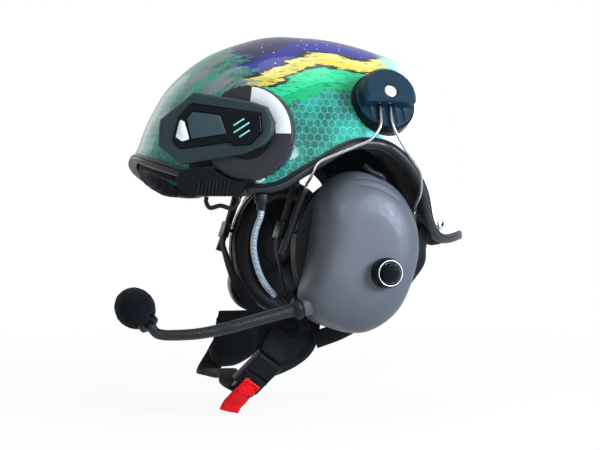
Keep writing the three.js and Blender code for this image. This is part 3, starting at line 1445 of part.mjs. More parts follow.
// The chin strap leaves the tongue, passes under the chin and ends flat on the right flap.
const strapOut = seatGap + webbingThickness / 2;
const chinLevel = tongueBase + tongueThickness / 2;
const chinStart = bucklePoint(tongueOutside + seatGap, 0, chinLevel);
const flapRight = (place) => vec(-place.x, place.y, place.z);
const chinEnds = [
  ...chinStrapLine.map((x) => bucklePoint(x, 0, strapOut)),
  ...chinStrapEndRoute.map(([y, z]) => onFlap(y, z, strapOut)),
].map(flapRight);
const chinPlaces = [
  chinStart, bucklePoint(tongueOutside + tongueToothPitch, 0, chinLevel),
  ...chinStrapRoute.map(([side, inset, y, z]) => vec(side * (flapMiddleX - inset), y, z)),
  ...chinEnds,
];
const chinWidths = chinPlaces.map((place) => {
  const side = THREE.MathUtils.clamp(place.x / chinStart.x, -1, 1);
  const edge = side > 0 ? buckleAcross : flapRight(flatOnFlap(buckleAcross, place.z));
  return vec(0, 1, 0).lerp(edge, side * side).normalize();
});
add('chin_strap', band(chinPlaces, chinWidths, chinStrapWidth, webbingThickness), 'webbing');

const bandLevel = strapOut + seatGap;
const bandPlaces = [
  ...buckleBandRoute.map(([y, z]) => onFlap(y, z, strapOut)),
  bucklePoint(-buckleUpper - tongueToothPitch, 0, bandLevel),
  bucklePoint(-buckleUpper - seatGap, 0, bandLevel),
];
const bandWidths = bandPlaces.map(({ z }) => flatOnFlap(buckleAcross, z));
add('buckle_band', band(bandPlaces, bandWidths, buckleBandWidth, webbingThickness), 'webbing');

export default helmet;
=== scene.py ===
# %% [markdown]
# # An open-face flying helmet with ear defenders
#
# The imported solids are the frame: every piece below is made in their space, in metres,
# and rides on one of their bodies. We load them first and keep their box, whose lowest
# corner sets the floor.

# %% Load the frame
import bmesh
import bpy
import json
import math
import numpy as np
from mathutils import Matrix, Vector, noise

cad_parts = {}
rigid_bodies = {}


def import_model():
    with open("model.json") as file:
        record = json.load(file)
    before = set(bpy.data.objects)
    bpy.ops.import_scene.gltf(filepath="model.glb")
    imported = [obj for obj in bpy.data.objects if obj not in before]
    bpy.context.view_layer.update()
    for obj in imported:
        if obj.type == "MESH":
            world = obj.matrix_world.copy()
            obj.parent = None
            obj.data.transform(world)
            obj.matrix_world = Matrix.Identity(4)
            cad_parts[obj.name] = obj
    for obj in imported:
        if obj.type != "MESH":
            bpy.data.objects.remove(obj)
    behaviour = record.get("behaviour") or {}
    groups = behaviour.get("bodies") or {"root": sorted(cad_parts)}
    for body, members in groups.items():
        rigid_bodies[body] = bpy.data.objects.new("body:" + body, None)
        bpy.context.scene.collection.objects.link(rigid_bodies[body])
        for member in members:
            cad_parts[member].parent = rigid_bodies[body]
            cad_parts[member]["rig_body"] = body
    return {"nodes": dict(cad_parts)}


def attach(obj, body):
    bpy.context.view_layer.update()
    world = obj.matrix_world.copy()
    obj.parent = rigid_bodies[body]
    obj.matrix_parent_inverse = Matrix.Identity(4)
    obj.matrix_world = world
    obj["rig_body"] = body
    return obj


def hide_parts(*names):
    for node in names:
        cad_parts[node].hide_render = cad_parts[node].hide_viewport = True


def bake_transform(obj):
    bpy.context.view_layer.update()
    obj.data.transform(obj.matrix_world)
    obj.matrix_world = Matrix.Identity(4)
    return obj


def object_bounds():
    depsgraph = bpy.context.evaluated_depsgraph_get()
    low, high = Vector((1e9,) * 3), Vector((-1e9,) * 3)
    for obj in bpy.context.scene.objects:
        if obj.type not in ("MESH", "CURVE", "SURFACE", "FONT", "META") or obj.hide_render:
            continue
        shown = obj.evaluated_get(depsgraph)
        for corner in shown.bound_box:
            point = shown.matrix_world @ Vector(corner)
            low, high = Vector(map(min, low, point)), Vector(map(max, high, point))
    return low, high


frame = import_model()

cad_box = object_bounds()
solids = frame["nodes"]

# %% [markdown]
# ## The camera
#
# The photo looks at the wearer's left side, turned twenty degrees towards the front and
# level with the ears. A long lens keeps the near cup from swelling. A camera with a given
# place, no shift and no depth of field can be moved to any other view.

# %% Place the camera
def link_new(name, data):
    made = bpy.data.objects.new(name, data)
    bpy.context.scene.collection.objects.link(made)
    return made


camera_data = bpy.data.cameras.new("photo_camera")
camera_data.lens = 83.58
camera_data.sensor_width = 36
camera = link_new("photo_camera", camera_data)
camera.location = (1.0948, -0.41304, 0.023)
camera.rotation_euler = (math.radians(90), 0, math.radians(70))
bpy.context.scene.camera = camera

# %% [markdown]
# ## Small tools for materials
#
# A node tree is easier to read when one function adds a node, its settings and its links
# in a single line. Colours are picked as the hex values that a screen shows, and Blender
# mixes them in linear light, so one function turns them over.

# %% Node and colour helpers
def linear(hex_colour):
    parts = [int(hex_colour[i:i + 2], 16) / 255 for i in (1, 3, 5)]
    return tuple(c / 12.92 if c <= 0.04045 else ((c + 0.055) / 1.055) ** 2.4 for c in parts) + (1,)


def set_inputs(node, values):
    for key, value in values.items():
        if isinstance(value, bpy.types.Node):
            value = value.outputs[2 if value.bl_idname == "ShaderNodeMix" else 0]
        if isinstance(value, bpy.types.NodeSocket):
            node.id_data.links.new(value, node.inputs[key])
        else:
            node.inputs[key].default_value = value


def add_node(tree, kind, inputs=None, **settings):
    made = tree.nodes.new(kind)
    for key, value in settings.items():
        setattr(made, key, value)
    set_inputs(made, inputs or {})
    return made


def math_node(tree, operation, *values):
    return add_node(tree, "ShaderNodeMath", dict(enumerate(values)), operation=operation)


def vector_node(tree, operation, *values):
    return add_node(tree, "ShaderNodeVectorMath", dict(enumerate(values)), operation=operation)


def range_node(tree, value, low, high, to_low=0.0, to_high=1.0, **settings):
    return add_node(tree, "ShaderNodeMapRange", {
        "Value": value, "From Min": low, "From Max": high, "To Min": to_low, "To Max": to_high},
        **settings)


def mix_node(tree, share, *colours):
    under, over = [linear(c) if isinstance(c, str) else c for c in colours]
    return add_node(tree, "ShaderNodeMix", {0: share, 6: under, 7: over}, data_type="RGBA")


def noise_node(tree, place, scale, detail, roughness=0.5):
    return add_node(tree, "ShaderNodeTexNoise", {"Vector": place, "Scale": scale, "Detail": detail,
                                                 "Roughness": roughness})


# A material with its shader, and its object's coordinates in millimetres
def start_material(name, colour, **shader_values):
    material = bpy.data.materials.new(name)
    material.use_nodes = True
    material.diffuse_color = linear(colour)
    tree = material.node_tree
    shader = tree.nodes["Principled BSDF"]
    shader.inputs["Base Color"].default_value = linear(colour)
    set_inputs(shader, {key.replace("_", " "): value for key, value in shader_values.items()})
    place = add_node(tree, "ShaderNodeTexCoord").outputs["Object"]
    in_mm = add_node(tree, "ShaderNodeVectorMath", {0: place, "Scale": 1000}, operation="SCALE")
    return material, tree, shader, in_mm


# Two colours mixed by a share, over a relief
def dress(tree, shader, share, dark, light, height, strength, depth, **more):
    tint = mix_node(tree, share, dark, light)
    relief = {"Height": height, "Strength": strength, "Distance": depth}
    bump = add_node(tree, "ShaderNodeBump", relief, **more)
    set_inputs(shader, {"Base Color": tint, "Normal": bump})
    return bump


# %% [markdown]
# ## Moulded plastics
#
# Most small parts are injection moulded: ABS for the hard ones, with the fine spark-eroded
# grain of the mould on them, and rubber for the grommets. One recipe covers the family: two
# close colours drift over tens of millimetres, a grain of half a millimetre breaks up the
# gloss, and a coarser noise wears the roughness where hands touch it.

# %% Material recipe for moulded parts
def moulded(name, colour, second, roughness, grain_mm=0.6, grain_depth=0.00004, **values):
    material, tree, shader, place = start_material(name, colour, Roughness=roughness, **values)
    drift = noise_node(tree, place, 1 / 22, 3)
    wear = noise_node(tree, place, 1 / 6, 4)
    ranged = range_node(tree, wear, 0.3, 0.7, max(roughness - 0.08, 0.03), roughness + 0.08)
    grain = noise_node(tree, place, 1 / grain_mm, 2, 0.6)
    dress(tree, shader, drift, colour, second, grain, 0.5, grain_depth)
    set_inputs(shader, {"Roughness": ranged})
    return material


# Black ABS, spark-eroded: a dull sheen with a fine sparkle
black_plastic = moulded("moulded_black_abs", "#03080B", "#081116", 0.36, Specular_IOR_Level=0.14)
# Glass-filled nylon of the discs: black, with a blue tint in its colour that is a painted
# reflection, and a satin sheen on its facets
disc_nylon = moulded("moulded_black_nylon_painted_blue_reflection", "#062230", "#0A2F40", 0.32,
                     Specular_IOR_Level=0.25)
# Slate ABS of the ear cups: a soft eggshell sheen that turns with the light
cup_plastic = moulded("eggshell_slate_abs", "#44484E", "#4E535A", 0.44, 0.8, 0.00005,
                      Specular_IOR_Level=0.4)
# Soft-touch coat of the intercom: velvety, close to no mirror
soft_touch = moulded("soft_touch_teal_grey", "#233236", "#293A3E", 0.56, Specular_IOR_Level=0.25)
key_rubber = moulded("moulded_grey_key", "#33464A", "#3B4F54", 0.5, Specular_IOR_Level=0.25)
ring_plastic = moulded("moulded_grey_ring", "#282A2E", "#313338", 0.48, Specular_IOR_Level=0.25)
# Extruded rubber: a fine grain over two close tones, with a broad highlight
trim_rubber = moulded("extruded_trim_rubber", "#13171B", "#1D2126", 0.42, 1.2, 0.00006,
                      Specular_IOR_Level=0.35)
sleeve_rubber = moulded("moulded_black_rubber", "#080C0F", "#101519", 0.46, 0.9, 0.00005,
                        Specular_IOR_Level=0.25)
boom_rubber = moulded("gooseneck_rubber", "#1A1D21", "#26292E", 0.34, 0.8, 0.00004,
                       Specular_IOR_Level=0.4)
gloss_plastic = moulded("polished_black_acrylic", "#020C11", "#041116", 0.09, 2.5, 0.000004,
                        Specular_IOR_Level=0.12)
tongue_plastic = moulded("ribbed_nylon_tongue", "#2B2F33", "#383D42", 0.4)
white_plastic = moulded("moulded_white_abs", "#EEF1F2", "#F6F8F8", 0.34)
lamp_window = moulded("light_window", "#EAF4F5", "#F7FCFC", 0.2, 2.0, 0.00001)
light_bar = moulded("cyan_light_bar", "#86E8E2", "#9DF2EC", 0.3, 2.0, 0.00001)

# %% [markdown]
# ## Tools for shapes
#
# Almost every soft or swept piece here is a row of loops joined into a skin. One function
# makes that skin from places in millimetres, and lays a map on it whose two numbers are
# real metres round the loop and along the piece, so a weave keeps its size on every strap.

# %% Loft loops into a piece
MM = 0.001


def add_piece(name, points, faces, finish, corners=None, sharp=None):
    mesh = bpy.data.meshes.new(name)
    mesh.from_pydata([tuple(Vector(p) * MM) for p in points], [], faces)
    if corners:
        layer = mesh.uv_layers.new(name="cloth")
        layer.data.foreach_set("uv", [v for face in corners for pair in face for v in pair])
    cleaned = bmesh.new()
    cleaned.from_mesh(mesh)
    bmesh.ops.recalc_face_normals(cleaned, faces=cleaned.faces)
    cleaned.to_mesh(mesh)
    cleaned.free()
    mesh.shade_smooth()
    if sharp:
        mesh.set_sharp_from_angle(angle=math.radians(sharp))
    mesh.materials.append(finish)
    return link_new(name, mesh)


def loft(name, loops, finish, ring=False, sharp=None):
    count, rows = len(loops[0]), len(loops)
    centres = [sum((Vector(p) for p in loop), Vector()) / count for loop in loops]
    along = [0.0]
    for a, b in zip(centres, centres[1:] + centres[:1]):
        along.append(along[-1] + (b - a).length * MM)
    girth = sum((Vector(loops[rows // 2][i]) - Vector(loops[rows // 2][i - 1])).length
                for i in range(count)) * MM
    points, faces, corners = [p for loop in loops for p in loop], [], []
    for row in range(rows if ring else rows - 1):
        low, high = row * count, ((row + 1) % rows) * count
        for i in range(count):
            after = (i + 1) % count
            u0, u1 = girth * i / count, girth * (i + 1) / count
            faces.append((low + i, low + after, high + after, high + i))
            corners.append(((u0, along[row]), (u1, along[row]),
                            (u1, along[row + 1]), (u0, along[row + 1])))
    if not ring:
        for start, row in ((0, 0), ((rows - 1) * count, rows - 1)):
            points.append(centres[row])
            for i in range(count):
                faces.append((start + i, start + (i + 1) % count, len(points) - 1))
                corners.append(((girth * i / count, along[row]),) * 3)
    return add_piece(name, points, faces, finish, corners, sharp)


# Puts a piece on the body of the solids that it stands for
def stand_for(piece, *names, slot=None):
    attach(piece, solids[names[0]]["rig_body"])
    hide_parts(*names)
    return piece


# Puts a piece that stands for no solid on a body
def carry(piece, body):
    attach(piece, body)
    return piece


# %% [markdown]
# ## Smooth paths
#
# A route is a handful of places. Straps run straight between their fittings and turn over
# a short bend, so their corners are cut by small arcs. Cables are stiff and turn slowly,
# so they follow a spline through the places, spaced by the square root of the distance,
# which never overshoots.

# %% Path helpers
def rounded_path(places, reach=6.0, steps=5):
    places = [Vector(p) for p in places]
    path = [places[0]]
    for before, corner, after in zip(places, places[1:], places[2:]):
        size = min(reach, (before - corner).length * 0.45, (after - corner).length * 0.45)
        start = corner + (before - corner).normalized() * size
        end = corner + (after - corner).normalized() * size
        for k in range(steps + 1):
            t = k / steps
            path.append(start * (1 - t) ** 2 + corner * 2 * t * (1 - t) + end * t * t)
    path.append(places[-1])
    return path


def spline_path(places, steps=8, closed=False):
    places = [Vector(p) for p in places]
    count = len(places)
    if closed:
        ends = lambda i: places[i % count]
    else:
        first = places[0] * 2 - places[1]
        last = places[-1] * 2 - places[-2]
        ends = lambda i: first if i < 0 else last if i >= count else places[i]
    path = []
    for i in range(count if closed else count - 1):
        p = [ends(i - 1), ends(i), ends(i + 1), ends(i + 2)]
        gaps = [max((p[k + 1] - p[k]).length ** 0.5, 1e-6) for k in range(3)]
        m1 = ((p[1] - p[0]) / gaps[0] - (p[2] - p[0]) / (gaps[0] + gaps[1])
              + (p[2] - p[1]) / gaps[1]) * gaps[1]
        m2 = ((p[2] - p[1]) / gaps[1] - (p[3] - p[1]) / (gaps[1] + gaps[2])
              + (p[3] - p[2]) / gaps[2]) * gaps[1]
        for k in range(steps):
            t = k / steps
            path.append(p[1] * (2 * t**3 - 3 * t**2 + 1) + m1 * (t**3 - 2 * t**2 + t)
                        + p[2] * (3 * t**2 - 2 * t**3) + m2 * (t**3 - t**2))
    if not closed:
        path.append(places[-1])
    return path


def path_length(path):
    return sum((b - a).length for a, b in zip(path, path[1:]))


def even_path(path, count):
    reach = [0.0]
    for a, b in zip(path, path[1:]):
        reach.append(reach[-1] + (b - a).length)
    wanted = np.linspace(0, reach[-1], count)
    flat = [np.interp(wanted, reach, [p[axis] for p in path]) for axis in range(3)]
    return [Vector(p) for p in zip(*flat)]


# The direction of a path at one of its places
def run_at(path, i):
    return (path[min(i + 1, len(path) - 1)] - path[max(i - 1, 0)]).normalized()


# Draws a sine or cosine out towards one, which turns a round section into a blunt one
def blunt(value, power):
    return math.copysign(abs(value) ** power, value)


# Loops round a path; radius is one number or a function of the share along
def tube_loops(path, radius, sides):
    loops, side = [], Vector((1, 0, 0))
    for i, place in enumerate(path):
        run = run_at(path, i)
        side = (side - run * side.dot(run)).normalized()
        up = run.cross(side)
        size = radius(i / (len(path) - 1)) if callable(radius) else radius
        loops.append([place + side * (size * math.cos(2 * math.pi * k / sides))
                      + up * (size * math.sin(2 * math.pi * k / sides)) for k in range(sides)])
    return loops


# %% [markdown]
# ## The cords
#
# Two short cords show. The microphone lead drops from a gland under the rim, in front of the
# strap, and goes in at the cheek flap: a braided jacket 4.8 mm across, with a rubber sleeve
# over its last quarter. The intercom's loop comes out of its clamp, hangs as a small swag and
# goes back in. Both ends of each are held, so no length is put away. Each is a spline of real
# thickness, made first, as later pieces lie round it.

# %% Lead and loop
def cord_curve(name, path, radius, finish):
    curve = bpy.data.curves.new(name, "CURVE")
    curve.dimensions = "3D"
    curve.bevel_depth = radius * MM
    curve.bevel_resolution = 5
    curve.use_fill_caps = True
    spline = curve.splines.new("POLY")
    spline.points.add(len(path) - 1)
    for point, place in zip(spline.points, path):
        point.co = (*(place * MM), 1)
    spline.use_smooth = True
    curve.materials.append(finish)
    return link_new(name, curve)


# Braided jacket of tinned strands: diamonds that climb round the cable, with painted shade
# darkening the hollows between the strands
braid, tree, shader, place = start_material("braided_tinned_jacket", "#A9B8C0", Roughness=0.38,
                                            Metallic=0.35)
strands = [add_node(tree, "ShaderNodeTexWave", {"Vector": add_node(
    tree, "ShaderNodeMapping", {"Vector": place, "Rotation": (0.5, turn, 0)}),
    "Scale": 0.22, "Distortion": 0.4}, bands_direction="Z") for turn in (0.7, -0.7)]
weave = math_node(tree, "MULTIPLY", strands[0], strands[1])
# The colour follows the relief, darker where the strands lie low: painted shade
dress(tree, shader, weave, "#75858F", "#C2D0D8", weave, 0.7, 0.0002)

lead_top = (95.388, -80.222, 33.824)
lead_places = [lead_top, (95.2, -80.9, 29.5), (92.4, -84, 18.5), (89.6, -84.6, 5.5),
               (84, -78.5, -12.9), (79, -70.2, -24.7), (75.5, -63, -31.3)]
sleeve_places = [(75.399, -62.792, -31.491), (72, -56, -37), (68, -52, -42.5), (64.6, -50.5, -48.5)]
lead_path = even_path(spline_path(lead_places + sleeve_places[1:]), 40)
lead = cord_curve("braided_lead", lead_path, 2.4, braid)
stand_for(lead, "mic_lead", slot="braid_grey")
sleeve_path = even_path(spline_path(sleeve_places), 14)
lead_sleeve = loft("lead_sleeve_rubber", tube_loops(sleeve_path, 3.2, 20), sleeve_rubber)
stand_for(lead_sleeve, "lead_sleeve", slot="cable_black")

loop_places = [(81.8, -119.4, 44.3), (81.5, -119.8, 41), (84.8, -117.9, 36), (91, -111.3, 37.5),
               (95.6, -103.5, 35.6), (97.1, -99, 41), (96.8, -99.4, 44.3)]
loop_path = even_path(spline_path(loop_places), 36)
intercom_loop = cord_curve("intercom_loop", loop_path, 1.7, sleeve_rubber)
stand_for(intercom_loop, "intercom_lead", slot="cable_black")
print("lead", round(path_length(lead_path)), "mm, loop", round(path_length(loop_path)), "mm")

# %% [markdown]
# ## Floor, backdrop and light
#
# The floor is a plain white sheet just under the lowest webbing. Part of its white is light
# that only the camera, mirrors and glass see, so that it stays pale while the shadow of
# the helmet still shows. Four soft lamps do the work of a studio: a key from the rear
# quarter that turns the cup blue-grey, a small one from the front for the spots on the
# lacquer, a wide one overhead, and a weak fill from the far side.

# %% Stage and lamps
def direct_rays(tree):
    rays = add_node(tree, "ShaderNodeLightPath")
    seen = rays.outputs["Is Camera Ray"]
    for kind in ("Is Glossy Ray", "Is Transmission Ray"):
        seen = math_node(tree, "MAXIMUM", seen, rays.outputs[kind])
    return seen


floor_level = min(corner[2] for corner in cad_box) - 0.001
floor_mesh = bpy.data.meshes.new("floor")
floor_mesh.from_pydata([(x, y, floor_level) for x, y in ((-6, -6), (6, -6), (6, 6), (-6, 6))],
                       [], [(0, 1, 2, 3)])
floor = link_new("floor", floor_mesh)
paper = bpy.data.materials.new("white_paper_floor")
paper.use_nodes = True
tree = paper.node_tree
sheet = tree.nodes["Principled BSDF"]
set_inputs(sheet, {"Base Color": linear("#F4F4F4"), "Roughness": 0.9})
ground = add_node(tree, "ShaderNodeTexCoord").outputs["Object"]
away = vector_node(tree, "LENGTH", ground)
faded = range_node(tree, away.outputs["Value"], 0.2, 0.9, 0.9, 1.0)
share = math_node(tree, "MULTIPLY", direct_rays(tree), faded)
glow = add_node(tree, "ShaderNodeEmission", {"Color": (1, 1, 1, 1), "Strength": 1.0})
blend = add_node(tree, "ShaderNodeMixShader", {0: share, 1: sheet, 2: glow})
set_inputs(tree.nodes["Material Output"], {"Surface": blend})
floor_mesh.materials.append(paper)

world = bpy.data.worlds.new("studio")
bpy.context.scene.world = world
world.use_nodes = True
tree = world.node_tree
backdrop = add_node(tree, "ShaderNodeBackground", {"Color": (1, 1, 1, 1), "Strength": 1.0})
dim = add_node(tree, "ShaderNodeBackground", {"Color": linear("#DDE6EE"), "Strength": 0.26})
blend = add_node(tree, "ShaderNodeMixShader", {0: direct_rays(tree), 1: dim, 2: backdrop})
set_inputs(tree.nodes["World Output"], {"Surface": blend})


def add_lamp(name, place, target, size, power, colour="#FFFFFF"):
    data = bpy.data.lights.new(name, "AREA")
    data.shape = "DISK"
    data.size = size
    data.energy = power
    data.color = linear(colour)[:3]
    lamp = link_new(name, data)
    lamp.location = place
    lamp.rotation_euler = (Vector(target) - Vector(place)).to_track_quat("-Z", "Y").to_euler()


add_lamp("rear_quarter_key", (0.72, 0.5, 0.24), (0.12, 0.02, 0.02), 0.35, 11, "#DDEAFF")
add_lamp("front_spot", (1.6, -0.35, 0.65), (0.05, -0.08, 0.08), 0.3, 8)
add_lamp("overhead", (0.0, 0.1, 1.4), (0, 0, 0.05), 0.7, 5)
add_lamp("far_side_fill", (-1.2, -0.6, 0.6), (0, 0, 0.05), 0.9, 3.5)
bpy.context.scene.view_settings.view_transform = "Standard"
print("floor at", round(floor_level * 1000, 1), "mm")

# %% [markdown]
# ## The shell
#
# The shell is laid up from three half outlines: front, rear and side. Seen from its centre,
# the skin in any direction is the ellipse between the two outlines that it lies between.
# The solid has sixty flat columns; the same rule with four times as many gives a skin that
# stays smooth in a mirror finish. Its lower edge is a closed spline round the rim.

# %% The skin's rule
SHELL_CENTRE = Vector((0, -15, 60))
CROWN_RISE, HALF_LENGTH, HALF_WIDTH, SHELL_WALL = 118, 140, 110, 3.6
front_outline = [(0, 1), (0.09, 1.008), (0.244, 0.992), (0.396, 0.94), (0.557, 0.862),
                 (0.7, 0.742), (0.797, 0.627), (0.885, 0.459), (0.934, 0.335), (0.967, 0.225),
                 (1, 0.14), (1.008, 0.02), (1, -0.15), (0.97, -0.45)]
rear_outline = [(0, 1), (0.16, 0.985), (0.33, 0.948), (0.5, 0.893), (0.67, 0.832),
                (0.79, 0.77), (0.862, 0.69), (0.893, 0.58), (0.93, 0.44), (0.955, 0.3),
                (0.966, 0.15), (0.98, 0), (0.994, -0.2), (0.988, -0.36), (0.96, -0.55)]
side_outline = [(0, 1), (0.3, 0.96), (0.55, 0.842), (0.75, 0.668), (0.9, 0.444),
                (0.975, 0.22), (1, 0.03), (1, -0.1), (0.985, -0.25), (0.965, -0.4), (0.93, -0.55)]


def smooth_table(pairs):
    last = len(pairs) - 1
    slopes = [(pairs[min(i + 1, last)][1] - pairs[max(i - 1, 0)][1])
              / (pairs[min(i + 1, last)][0] - pairs[max(i - 1, 0)][0]) for i in range(last + 1)]

    def read(at):
        i = 0
        while i < last - 1 and at > pairs[i + 1][0]:
            i += 1
        span = pairs[i + 1][0] - pairs[i][0]
        t = min(max((at - pairs[i][0]) / span, 0), 1)
        return ((2 * t**3 - 3 * t**2 + 1) * pairs[i][1] + (t**3 - 2 * t**2 + t) * span * slopes[i]
                + (3 * t**2 - 2 * t**3) * pairs[i + 1][1] + (t**3 - t**2) * span * slopes[i + 1])
    return read


def outline_radius(shares, half_span):
    return smooth_table([(math.atan2(out * half_span, up * CROWN_RISE),
                          math.hypot(out * half_span, up * CROWN_RISE)) for out, up in shares])


front_radius = outline_radius(front_outline, HALF_LENGTH)
rear_radius = outline_radius(rear_outline, HALF_LENGTH)
side_radius = outline_radius(side_outline, HALF_WIDTH)


def skin_radius(d):
    level = math.hypot(d[0], d[1])
    fall = math.atan2(level, d[2])
    forward = -d[1] / level if level > 1e-9 else 1
    along = front_radius(fall) if forward > 0 else rear_radius(fall)
    return 1 / math.hypot(forward / along, math.sqrt(max(1 - forward**2, 0)) / side_radius(fall))


def on_skin(place, outwards=0.0):
    direction = (Vector(place) - SHELL_CENTRE).normalized()
    return SHELL_CENTRE + direction * (skin_radius(direction) + outwards)


def skin_normal(place):
    radial = (Vector(place) - SHELL_CENTRE).normalized()
    level = Vector((0, 0, 1)).cross(radial).normalized()
    upward = radial.cross(level)
    here = on_skin(place)
    sideways, climbing = on_skin(place + level * 3) - here, on_skin(place + upward * 3) - here
    return sideways.cross(climbing).normalized()


# %% The rim's stations
rim_heights = [(0, 0.17), (14, 0.125), (27, 0.06), (40, -0.015), (53, -0.05), (62, -0.03),
               (70, 0.05), (78, 0.127), (90, 0.232), (101, 0.256), (109, 0.236), (115, 0.185),
               (121.8, 0.08), (127.9, -0.08), (132.2, -0.265), (138, -0.36), (158, -0.352),
               (180, -0.345)]


def skin_at_turn(turn, height):
    level = Vector((math.sin(math.radians(turn)), -math.cos(math.radians(turn)), 0))
    fall = math.pi / 2
    for _ in range(30):
        reach = skin_radius(level * math.sin(fall) + Vector((0, 0, math.cos(fall))))
        fall = math.acos(min(max((height - SHELL_CENTRE.z) / reach, -1), 1))
    return on_skin(SHELL_CENTRE + level * math.sin(fall) + Vector((0, 0, math.cos(fall))))


def rim_stations(count):
    turns = rim_heights + [(360 - turn, share) for turn, share in rim_heights[-2:0:-1]]
    knots = [skin_at_turn(turn, SHELL_CENTRE.z + share * CROWN_RISE) for turn, share in turns]
    path = spline_path(knots, 24, closed=True)
    places = [on_skin(p) for p in even_path(path + path[:1], count + 1)[:-1]]
    stations = []
    for i, place in enumerate(places):
        run = (places[(i + 1) % count] - places[i - 1]).normalized()
        down = run.cross(skin_normal(place)).normalized()
        stations.append((place, run, -down if down.z > 0 else down))
    return stations


def by_rim(station, down, out):
    return on_skin(station[0] + station[2] * down, out)


RIM_COLUMNS = 240
rim = rim_stations(RIM_COLUMNS)
print("rim", round(path_length([s[0] for s in rim])), "mm round")


CROWN_SHARE = 0.985


def skin_rings(stations, edge_down, climb_from, out, rows):
    edge_depth = out(0, None) if callable(out) else out
    rings = [[by_rim(s, edge_down, edge_depth) for s in stations]]
    crown = Vector((0, 0, 1))
    feet = [(by_rim(s, climb_from, 0) - SHELL_CENTRE).normalized() for s in stations]
    for row in range(0 if edge_down > climb_from else 1, rows + 1):
        climb = CROWN_SHARE * row / rows
        ring = []
        for foot in feet:
            sweep = foot.angle(crown)
            direction = foot * math.sin((1 - climb) * sweep) + crown * math.sin(climb * sweep)
            depth = out(climb, foot) if callable(out) else out
            ring.append(on_skin(SHELL_CENTRE + direction, depth))
        rings.append(ring)
    return rings


# %% [markdown]
# ## Painted lacquer
#
# The finish is a sprayed one under a thick clear coat: a teal base with fine metal flake
# whose glints are painted as pale spots, a pale honeycomb net, silver streaks at the brow,
# white over the rear, and three flowing ribbons in blue, yellow and green that are this
# helmet's own. Every line is a rule on the object's coordinates: a height that leans and
# waves along the side splits the ribbons, and a slanted plane starts the white. Ragged ends
# come from noise drawn out along the ribbons.

# %% Lacquer material
lacquer, tree, shader, place = start_material(
    "clear_coated_lacquer", "#1F8F80", Roughness=0.42, Specular_IOR_Level=0.15,
    Coat_Weight=0.35, Coat_Roughness=0.06, Coat_IOR=1.42)
eased_step = {"interpolation_type": "SMOOTHSTEP"}
axes = add_node(tree, "ShaderNodeSeparateXYZ", {0: place})

# %% Teal base: sprayed clouds, metal flake with painted glints, and a fine net
clouds = noise_node(tree, place, 1 / 24, 5, 0.62)
share = range_node(tree, clouds, 0.36, 0.68, **eased_step)
base = mix_node(tree, share, "#0A5548", "#1E9E86")
# Metal flake: each flake's centre is mixed towards pale teal, a painted glint
flake = add_node(tree, "ShaderNodeTexVoronoi", {"Vector": place, "Scale": 1.3})
share = range_node(tree, flake.outputs["Distance"], 0.0, 0.5, 0.28, 0.0)
base = mix_node(tree, share, base, "#7FD6C6")

# %% Honeycomb net: two staggered grids, and each point belongs to the nearer cell
CELL = 6.8
centred = vector_node(tree, "ADD", place, (0, 15, -40))
level = vector_node(tree, "MULTIPLY", centred, (1, 1, 0))
reach = vector_node(tree, "LENGTH", level).outputs["Value"]
spots = add_node(tree, "ShaderNodeSeparateXYZ", {0: centred})
ahead = math_node(tree, "MULTIPLY", spots.outputs[1], -1.0)
turn = math_node(tree, "ARCTAN2", spots.outputs[0], ahead)
climb = math_node(tree, "ARCTAN2", spots.outputs[2], reach)
flat = add_node(tree, "ShaderNodeCombineXYZ", {0: turn, 1: climb})
flat = add_node(tree, "ShaderNodeVectorMath", {0: flat, "Scale": 123 / CELL}, operation="SCALE")
half, back = (0.5, 0.866, 0), (-0.5, -0.866, 0)
first = vector_node(tree, "WRAP", flat, half, back)
moved = vector_node(tree, "ADD", flat, half)
second = vector_node(tree, "WRAP", moved, half, back)
lengths = [vector_node(tree, "LENGTH", cell).outputs["Value"]
           for cell in (first, second)]
nearer = math_node(tree, "LESS_THAN", lengths[0], lengths[1])
cell = add_node(tree, "ShaderNodeMix", {0: nearer, 4: second, 5: first},
                data_type="VECTOR").outputs[1]
cell = vector_node(tree, "ABSOLUTE", cell)
slant = vector_node(tree, "DOT_PRODUCT", cell, half)
sides = add_node(tree, "ShaderNodeSeparateXYZ", {0: cell})
reach = math_node(tree, "MAXIMUM", sides.outputs[0], slant.outputs["Value"])
line = range_node(tree, reach, 0.43, 0.48, 0.0, 0.34)
base = mix_node(tree, line, base, "#8FDCCE")

# %% Ribbons: a height that leans to the rear and waves, roughened by brush strokes
wave = math_node(tree, "MULTIPLY", axes.outputs[1], 1 / 17.0)
wave = math_node(tree, "SINE", wave)
lean = math_node(tree, "MULTIPLY_ADD", axes.outputs[1], -0.16, axes.outputs[2])
height = math_node(tree, "MULTIPLY_ADD", wave, 6.0, lean)
drawn = add_node(tree, "ShaderNodeMapping", {"Vector": place, "Scale": (0.12, 0.022, 0.2)})
strokes = noise_node(tree, drawn, 1.0, 6, 0.68)
ragged = math_node(tree, "MULTIPLY_ADD", strokes, 16.0, height)
share = range_node(tree, ragged, 120, 200)
ribbons = add_node(tree, "ShaderNodeValToRGB", {0: share})
ribbons.color_ramp.interpolation = "CONSTANT"
stops = [(0.0, "#07110F"), (0.16, "#0FA968"), (0.25, "#27C98A"), (0.40, "#0C2A22"),
         (0.425, "#DFC94E"), (0.50, "#EAD978"), (0.56, "#07090C"), (0.585, "#06128A"),
         (0.72, "#050C4A")]
while len(ribbons.color_ramp.elements) < len(stops):
    ribbons.color_ramp.elements.new(0.5)
for element, (at, tone) in zip(ribbons.color_ramp.elements, stops):
    element.position, element.color = at, linear(tone)
specks = add_node(tree, "ShaderNodeTexVoronoi", {"Vector": place, "Scale": 1 / 6.0})
speck = range_node(tree, specks.outputs["Distance"], 0.08, 0.13, 1.0, 0.0)
share = range_node(tree, ragged, 167, 169, **eased_step)
